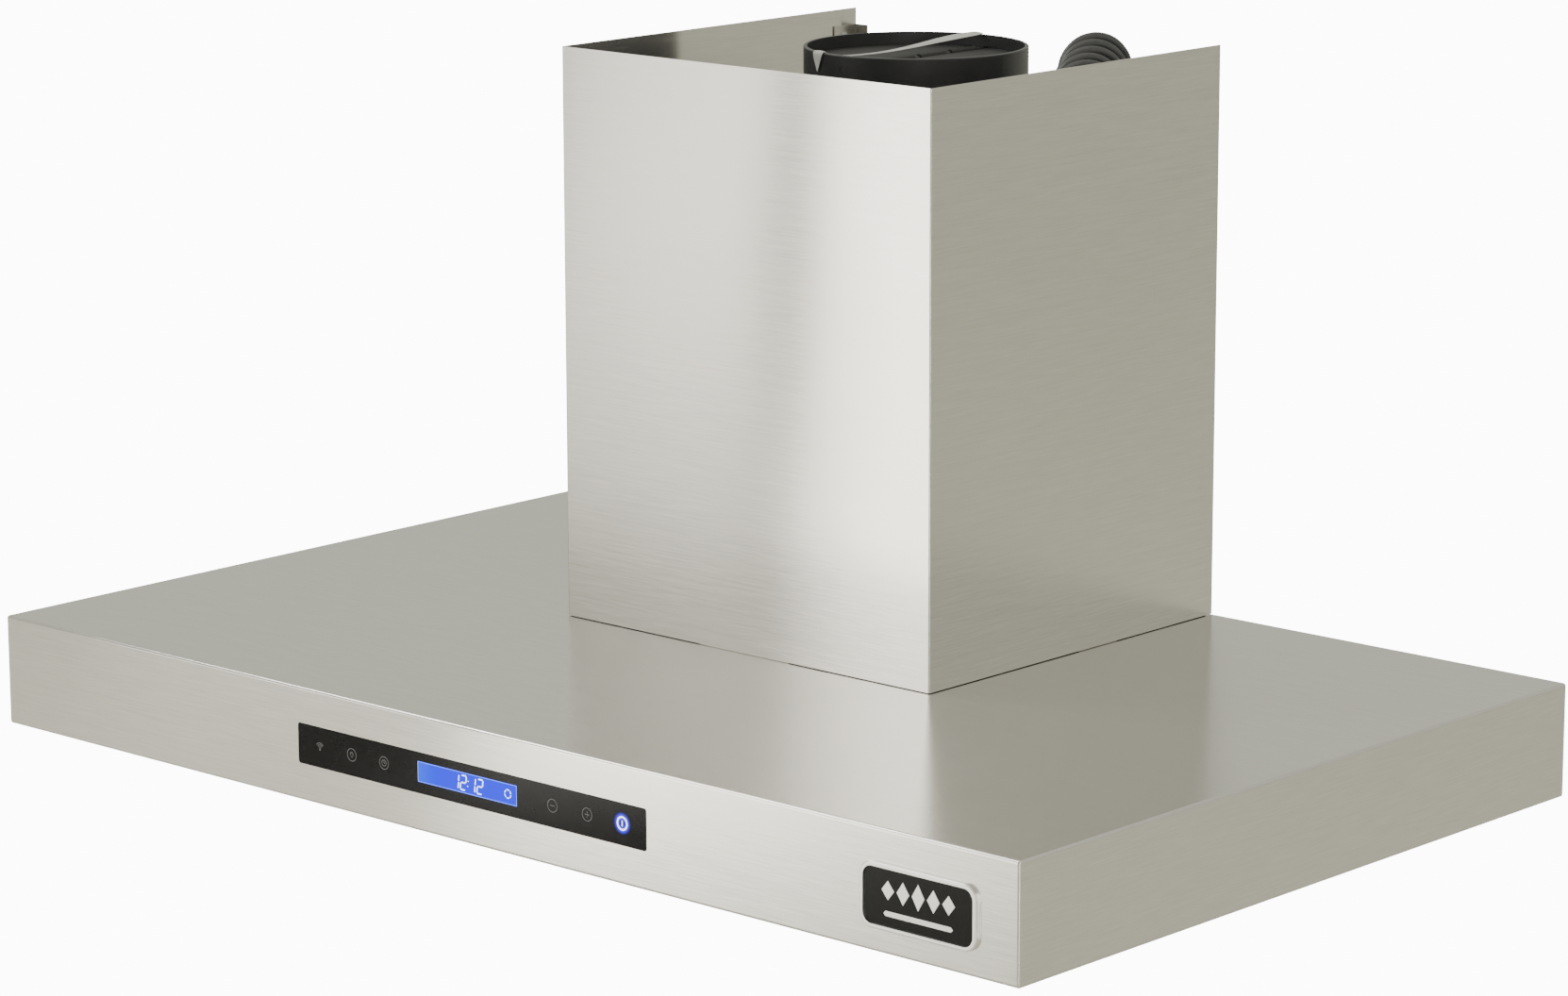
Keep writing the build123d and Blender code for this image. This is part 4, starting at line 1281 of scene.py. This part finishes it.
class HOOD_OT_collar(bpy.types.Operator):
    """Duct collar, gasket, damper flaps and the strip of film that holds them shut for transit"""

    bl_idname = "hood.collar"
    bl_label = "Duct collar"

    def execute(self, context):
        black = moulded_plastic("moulded_collar_plastic", "#1C1C1E", "#303033", 0.4, 1.4, 0.03)
        paint(["duct_collar"], black)
        flap = moulded_plastic("flap_plastic", "#101011", "#19191B", 0.6)
        paint(["damper_left", "damper_right"], flap)
        paint(["damper_seat"], moulded_plastic("seat_rubber", "#161617", "#222224", 0.6))
        paint(["collar_gasket"], foam_rubber("foam_gasket"))
        paint(["damper_pin"], plated_steel("dull_pin", "#5A5B5D", "#48494B", 0.45))
        self.add_tape(context)
        return {"FINISHED"}

    def add_tape(self, context):
        """A strip laid over the open collar, pulled narrow and turned on edge at the front."""
        rim = collar_top
        folded = 4
        stations = (
            # Middle of the strip, half its width, and how far it is tipped
            (-0.0236, -0.1948, rim - 0.0130, 0.0003, 0),
            (-0.0236, -0.1948, rim - 0.0065, 0.0036, 0),
            (-0.0236, -0.1949, rim - 0.0006, 0.0062, 0),
            (-0.0230, -0.1935, rim + 0.0008, 0.0060, 0),
            (-0.0222, -0.1905, rim + 0.0003, 0.0042, 0),
            (-0.0212, -0.1860, rim - 0.0025, 0.0022, 0),
            (-0.0196, -0.1720, rim - 0.0045, 0.0014, 4),
            (-0.0172, -0.1500, rim - 0.0050, 0.0014, 6),
            (-0.0150, -0.1300, rim - 0.0046, 0.0018, 8),
            (-0.0126, -0.1080, rim - 0.0030, 0.0028, 9),
            (-0.0104, -0.0900, rim - 0.0012, 0.0040, 9),
            (-0.0080, -0.0660, rim + 0.0006, 0.0052, 8),
            (-0.0068, -0.0485, rim + 0.0010, 0.0055, 3),
        )
        mesh = bmesh.new()
        rows = []
        for index, (x, y, z, half, turn) in enumerate(stations):
            before = Vector(stations[max(index - 1, 0)][:3])
            after = Vector(stations[min(index + 1, len(stations) - 1)][:3])
            along = (after - before).normalized()
            flat = along.cross(Vector((0, 0, 1)))
            if index < folded:
                flat = Vector((0.951, -0.308, 0))
            flat.normalize()
            edge = Matrix.Rotation(math.radians(turn), 3, along) @ flat
            across = 6
            row = []
            for k in range(across + 1):
                share = 2 * k / across - 1
                lift = Vector((0, 0, 0.0004 * (1 - share * share)))
                row.append(mesh.verts.new(Vector((x, y, z)) + edge * half * share + lift))
            rows.append(row)
        for a, b in zip(rows, rows[1:]):
            for k in range(len(a) - 1):
                mesh.faces.new((a[k], a[k + 1], b[k + 1], b[k]))
        bmesh.ops.recalc_face_normals(mesh, faces=mesh.faces)
        tape = piece("transit_film", mesh, film_tape("clear_film"))
        for kind, settings in (
            ("SUBSURF", {"levels": 2, "render_levels": 2}),
            ("SOLIDIFY", {"thickness": 0.09 * MM, "offset": 0}),
        ):
            made = tape.modifiers.new(kind.lower(), kind)
            for key, value in settings.items():
                setattr(made, key, value)
        graph = context.evaluated_depsgraph_get()
        final = bpy.data.meshes.new_from_object(tape.evaluated_get(graph))
        tape.modifiers.clear()
        tape.data = final
        smooth(tape, 60)
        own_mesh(tape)


class HOOD_OT_control(bpy.types.Operator):
    """Black glass touch control with its keys and lit display"""

    bl_idname = "hood.control"
    bl_label = "Touch control"

    def execute(self, context):
        settings = context.scene.range_hood.control
        paint(["control_glass"], printed_glass("back_printed_glass"))
        paint(["control_holder"], moulded_plastic("abs_holder", "#1B1B1C", "#262627", 0.5))
        paint(["touch_board"], circuit_board("touch_circuit_board"))
        paint(["lcd_module"], moulded_plastic("display_frame", "#2A2B2D", "#37383A", 0.4))
        self.add_display(settings)
        self.add_keys(settings)
        return {"FINISHED"}

    def add_display(self, settings):
        """The lit cell, a lighter line round it, the clock and a small ring at its right end."""
        middle_z = glass_middle.z + 0.8 * MM
        half_x, half_z = settings.display_width / 2, settings.display_height / 2
        mesh = bmesh.new()
        outline = [(x, z + middle_z) for x, z in rounded(half_x, half_z, 0.4 * MM, 3)]
        plate(mesh, outline, front_y - HAIR, front_y + HAIR)
        piece("display_cell", mesh, backlit_cell("backlit_cell", settings))
        mesh = bmesh.new()
        line = 0.35 * MM
        front, back = front_y - 2 * HAIR, front_y - HAIR
        for side in (-1, 1):
            z = middle_z + side * (half_z - line)
            bar(mesh, (-half_x + line, z), (half_x - line, z), line, front, back)
            x = side * (half_x - line)
            ends = [(x, middle_z + end * (half_z - line)) for end in (-1, 1)]
            bar(mesh, *ends, line, front, back)
        piece("display_border", mesh, lit_print("lit_border", "#5C86FF", 1.6))
        mesh = bmesh.new()
        left = -12 * MM
        pitch = 6.6 * MM
        for index, digit in enumerate(settings.clock):
            gap = 1.6 * MM if index > 1 else 0.0
            self.add_digit(mesh, digit, left + pitch * index + gap, middle_z)
        for step in (-1, 1):
            x = left + 2 * pitch - 0.2 * MM + step * 0.3 * MM
            z = middle_z + step * 1.7 * MM
            bar(mesh, (x - 0.15 * MM, z), (x + 0.15 * MM, z), 0.8 * MM, front, back)
        ring_centre = (half_x - 8 * MM, middle_z)
        for part in range(6):
            ring(mesh, ring_centre, 2.7 * MM, 0.7 * MM, front, back, 60 * part + 8, 44, 36)
        piece("display_figures", mesh, lit_print("lit_figures", "#CFE4FF", 2.6))

    def add_digit(self, mesh, digit, left, middle_z):
        """One seven-bar digit, leaning a little to the right."""
        width, height, bold = 4.6 * MM, 9.4 * MM, 0.85 * MM
        gap = 0.25 * MM
        lean = 0.12
        bars = {
            "a": ((0, 1), (1, 1)),
            "b": ((1, 0), (1, 1)),
            "c": ((1, -1), (1, 0)),
            "d": ((0, -1), (1, -1)),
            "e": ((0, -1), (0, 0)),
            "f": ((0, 0), (0, 1)),
            "g": ((0, 0), (1, 0)),
        }
        lit = "abcdef bc abged abgcd fgbc afgcd afgecd abc abcdefg abcdfg".split()
        for name in lit[int(digit)]:
            ends = []
            for right, up in bars[name]:
                z = up * height / 2
                ends.append(Vector((left + right * width + z * lean, middle_z + z)))
            run = (ends[1] - ends[0]).normalized() * (gap + bold / 2)
            bar(mesh, ends[0] + run, ends[1] - run, bold, front_y - 2 * HAIR, front_y - HAIR)

    def add_keys(self, settings):
        """Three keys on each side of the display, printed dim. The last one is lit."""
        z = glass_middle.z + 0.5 * MM
        outer = glass_high.x - 20.2 * MM
        pitch = settings.key_pitch
        radius = settings.key_radius
        fine = 0.42 * MM
        front, back = front_y - HAIR, front_y + HAIR
        mesh = bmesh.new()
        # Fan: three curved arms over a dot
        x = -outer
        for arm in range(3):
            ring(mesh, (x, z - 1.8 * MM), (1.7 + 1.3 * arm) * MM, fine, front, back, 42, 96, 40)
        ring(mesh, (x, z - 1.8 * MM), 0.45 * MM, 0.6 * MM, front, back, steps=16)
        # Lamp: a ring with a small lamp in it
        x = -outer + pitch
        ring(mesh, (x, z), radius, fine, front, back)
        ring(mesh, (x, z + 0.4 * MM), 1.2 * MM, fine, front, back, -50, 280, 36)
        bar(mesh, (x - 0.6 * MM, z - 1.4 * MM), (x + 0.6 * MM, z - 1.4 * MM), fine, front, back)
        # Timer: a ring with a clock hand
        x = -outer + 2 * pitch
        ring(mesh, (x, z), radius, fine, front, back)
        ring(mesh, (x, z), 2.0 * MM, fine, front, back)
        bar(mesh, (x, z), (x, z + 1.5 * MM), fine, front, back)
        bar(mesh, (x, z), (x + 1.1 * MM, z), fine, front, back)
        # Less and more
        for x, upright in ((outer - 2 * pitch, False), (outer - pitch, True)):
            ring(mesh, (x, z), radius, fine, front, back)
            bar(mesh, (x - 1.9 * MM, z), (x + 1.9 * MM, z), fine, front, back)
            if upright:
                bar(mesh, (x, z - 1.9 * MM), (x, z + 1.9 * MM), fine, front, back)
        ink = moulded_plastic("grey_key_print", "#5E5E60", "#6B6B6D", 0.35, 1.0, 0.0)
        piece("key_print", mesh, ink)
        # Power: lit white, with a soft blue glow round it
        mesh = bmesh.new()
        power_ring = 4.0 * MM
        half_bar = 1.6 * MM
        ring(mesh, (outer, z), power_ring, 1.15 * MM, front - HAIR, front)
        bar(mesh, (outer, z - half_bar), (outer, z + half_bar), 0.9 * MM, front - HAIR, front)
        piece("power_key", mesh, lit_print("lit_power_key", "#E8ECFF", 1.9))
        mesh = bmesh.new()
        glow = 8.5 * MM
        turns = [2 * math.pi * i / 48 for i in range(48)]
        disc = [(outer + glow * math.cos(turn), z + glow * math.sin(turn)) for turn in turns]
        plate(mesh, disc, front, back)
        piece("power_glow", mesh, self.glow(outer, z, power_ring, glow))

    def glow(self, x, z, power_ring, radius):
        """Blue light scattered in the glass round the lit ring, fading to black on both sides."""
        made, tree, shader = new_finish("glow_in_glass", "#08080A", 0.08, Specular_IOR_Level=0.12)
        shader.inputs["Emission Strength"].default_value = 1.6
        place = add_node(tree, "ShaderNodeTexCoord")
        distance = add_node(
            tree,
            "ShaderNodeVectorMath",
            {1: (x, front_y, z)},
            {0: place.outputs["Object"]},
            operation="DISTANCE",
        )
        beside = add_node(
            tree,
            "ShaderNodeMath",
            {1: power_ring},
            {0: distance.outputs["Value"]},
            operation="SUBTRACT",
        )
        apart = add_node(
            tree, "ShaderNodeMath", links={0: beside.outputs[0]}, operation="ABSOLUTE"
        )
        fade = add_node(
            tree,
            "ShaderNodeMapRange",
            {"From Min": radius - power_ring, "From Max": 0.3 * MM},
            {"Value": apart.outputs[0]},
            interpolation_type="SMOOTHERSTEP",
        )
        squared = add_node(
            tree,
            "ShaderNodeMath",
            {1: 2.0},
            {0: fade.outputs["Result"]},
            operation="POWER",
        )
        tree.links.new(
            shade(tree, squared.outputs[0], "#000000", "#3A2CFF"), shader.inputs["Emission Color"]
        )
        return made


class HOOD_OT_badge(bpy.types.Operator):
    """Badge: polished rim, black enamel and a generic mark of diamonds over a bar"""

    bl_idname = "hood.badge"
    bl_label = "Badge"

    def execute(self, context):
        paint(["badge_rim"], plated_steel("polished_rim", "#FBFAF8", "#F0EFEC", 0.36))
        paint(["badge_plate"], enamel("baked_enamel"))
        front = badge_low.y - 0.25 * MM
        back = badge_low.y + 0.1 * MM
        mesh = bmesh.new()
        middle = badge_middle.x
        top = badge_middle.z + 4.6 * MM
        count, pitch = 5, 11.6 * MM
        for index in range(count):
            x = middle + (index - (count - 1) / 2) * pitch
            tall = 8.2 * MM - abs(index - 2) * 1.1 * MM
            wide = 4.9 * MM
            outline = [(x + wide, top), (x, top + tall), (x - wide, top), (x, top - tall)]
            plate(mesh, outline, front, back)
        low = badge_middle.z - 9.6 * MM
        half_bar = 25 * MM
        bar(mesh, (middle - half_bar, low), (middle + half_bar, low), 3.2 * MM, front, back)
        ink = plated_steel("raised_mark", "#EFEFEC", "#DEDEDA", 0.3)
        mark = piece("badge_mark", mesh, ink)
        bevel = mark.modifiers.new("soft_edge", "BEVEL")
        bevel.width = 0.12 * MM
        bevel.segments = 2
        return {"FINISHED"}


class HOOD_OT_lamps(bpy.types.Operator):
    """The two lamps under the front ledge"""

    bl_idname = "hood.lamps"
    bl_label = "Lamps"

    def execute(self, context):
        bezel = plated_steel("satin_lamp_bezel", "#CFCFCC", "#BDBDBA", 0.24)
        lens = frosted_polycarbonate("frosted_lens")
        can = moulded_plastic("white_lamp_can", "#DAD9D3", "#E6E5E0", 0.45)
        for side in ("left", "right"):
            paint(["lamp_%s_bezel" % side], bezel)
            paint(["lamp_%s_lens" % side], lens)
            paint(["lamp_%s_body" % side], can)
        return {"FINISHED"}


class HOOD_OT_electrics(bpy.types.Operator):
    """Power board, terminal block and motor capacitor in the control box"""

    bl_idname = "hood.electrics"
    bl_label = "Electrics"

    def execute(self, context):
        paint(["power_board"], circuit_board("power_circuit_board"))
        nylon = moulded_plastic("nylon_terminal_block", "#E4E2DA", "#EFEDE6", 0.45)
        paint(["terminal_block"], nylon)
        case = moulded_plastic("capacitor_case", "#D8D7D0", "#E4E3DD", 0.4)
        paint(["motor_capacitor"], case)
        return {"FINISHED"}


class HOOD_OT_fixings(bpy.types.Operator):
    """Screws and rivets"""

    bl_idname = "hood.fixings"
    bl_label = "Fixings"

    def execute(self, context):
        zinc = plated_steel("zinc_plated_screw", "#BFC1C4", "#A4A7AB", 0.28)
        paint(["liner_screws", "blower_screws", "collar_screws"], zinc)
        paint(["chimney_rivets"], plated_steel("aluminium_rivet", "#CFCFCE", "#BABAB9", 0.32))
        return {"FINISHED"}


class HOOD_PT_panel(bpy.types.Panel):
    """The range hood's operators and settings"""

    bl_idname = "HOOD_PT_panel"
    bl_label = "Range hood"
    bl_space_type = "VIEW_3D"
    bl_region_type = "UI"
    bl_category = "Range hood"

    def draw(self, context):
        settings = context.scene.range_hood
        for operator in OPERATORS:
            self.layout.operator(operator.bl_idname)
        for group in (settings.studio, settings.steel, settings.control, settings.cord):
            box = self.layout.box()
            for name in group.__annotations__:
                box.prop(group, name)


OPERATORS = (
    HOOD_OT_stage,
    HOOD_OT_power_cord,
    HOOD_OT_sheet_steel,
    HOOD_OT_blower,
    HOOD_OT_collar,
    HOOD_OT_control,
    HOOD_OT_badge,
    HOOD_OT_lamps,
    HOOD_OT_electrics,
    HOOD_OT_fixings,
)
CLASSES = (
    StudioSettings,
    SteelSettings,
    ControlSettings,
    CordSettings,
    HoodSettings,
    *OPERATORS,
    HOOD_PT_panel,
)


def register():
    for cls in CLASSES:
        bpy.utils.register_class(cls)
    bpy.types.Scene.range_hood = PointerProperty(type=HoodSettings)


def unregister():
    del bpy.types.Scene.range_hood
    for cls in reversed(CLASSES):
        bpy.utils.unregister_class(cls)


def main():
    register()
    for operator in OPERATORS:
        group, action = operator.bl_idname.split(".")
        getattr(getattr(bpy.ops, group), action)()


if __name__ == "__main__":
    main()
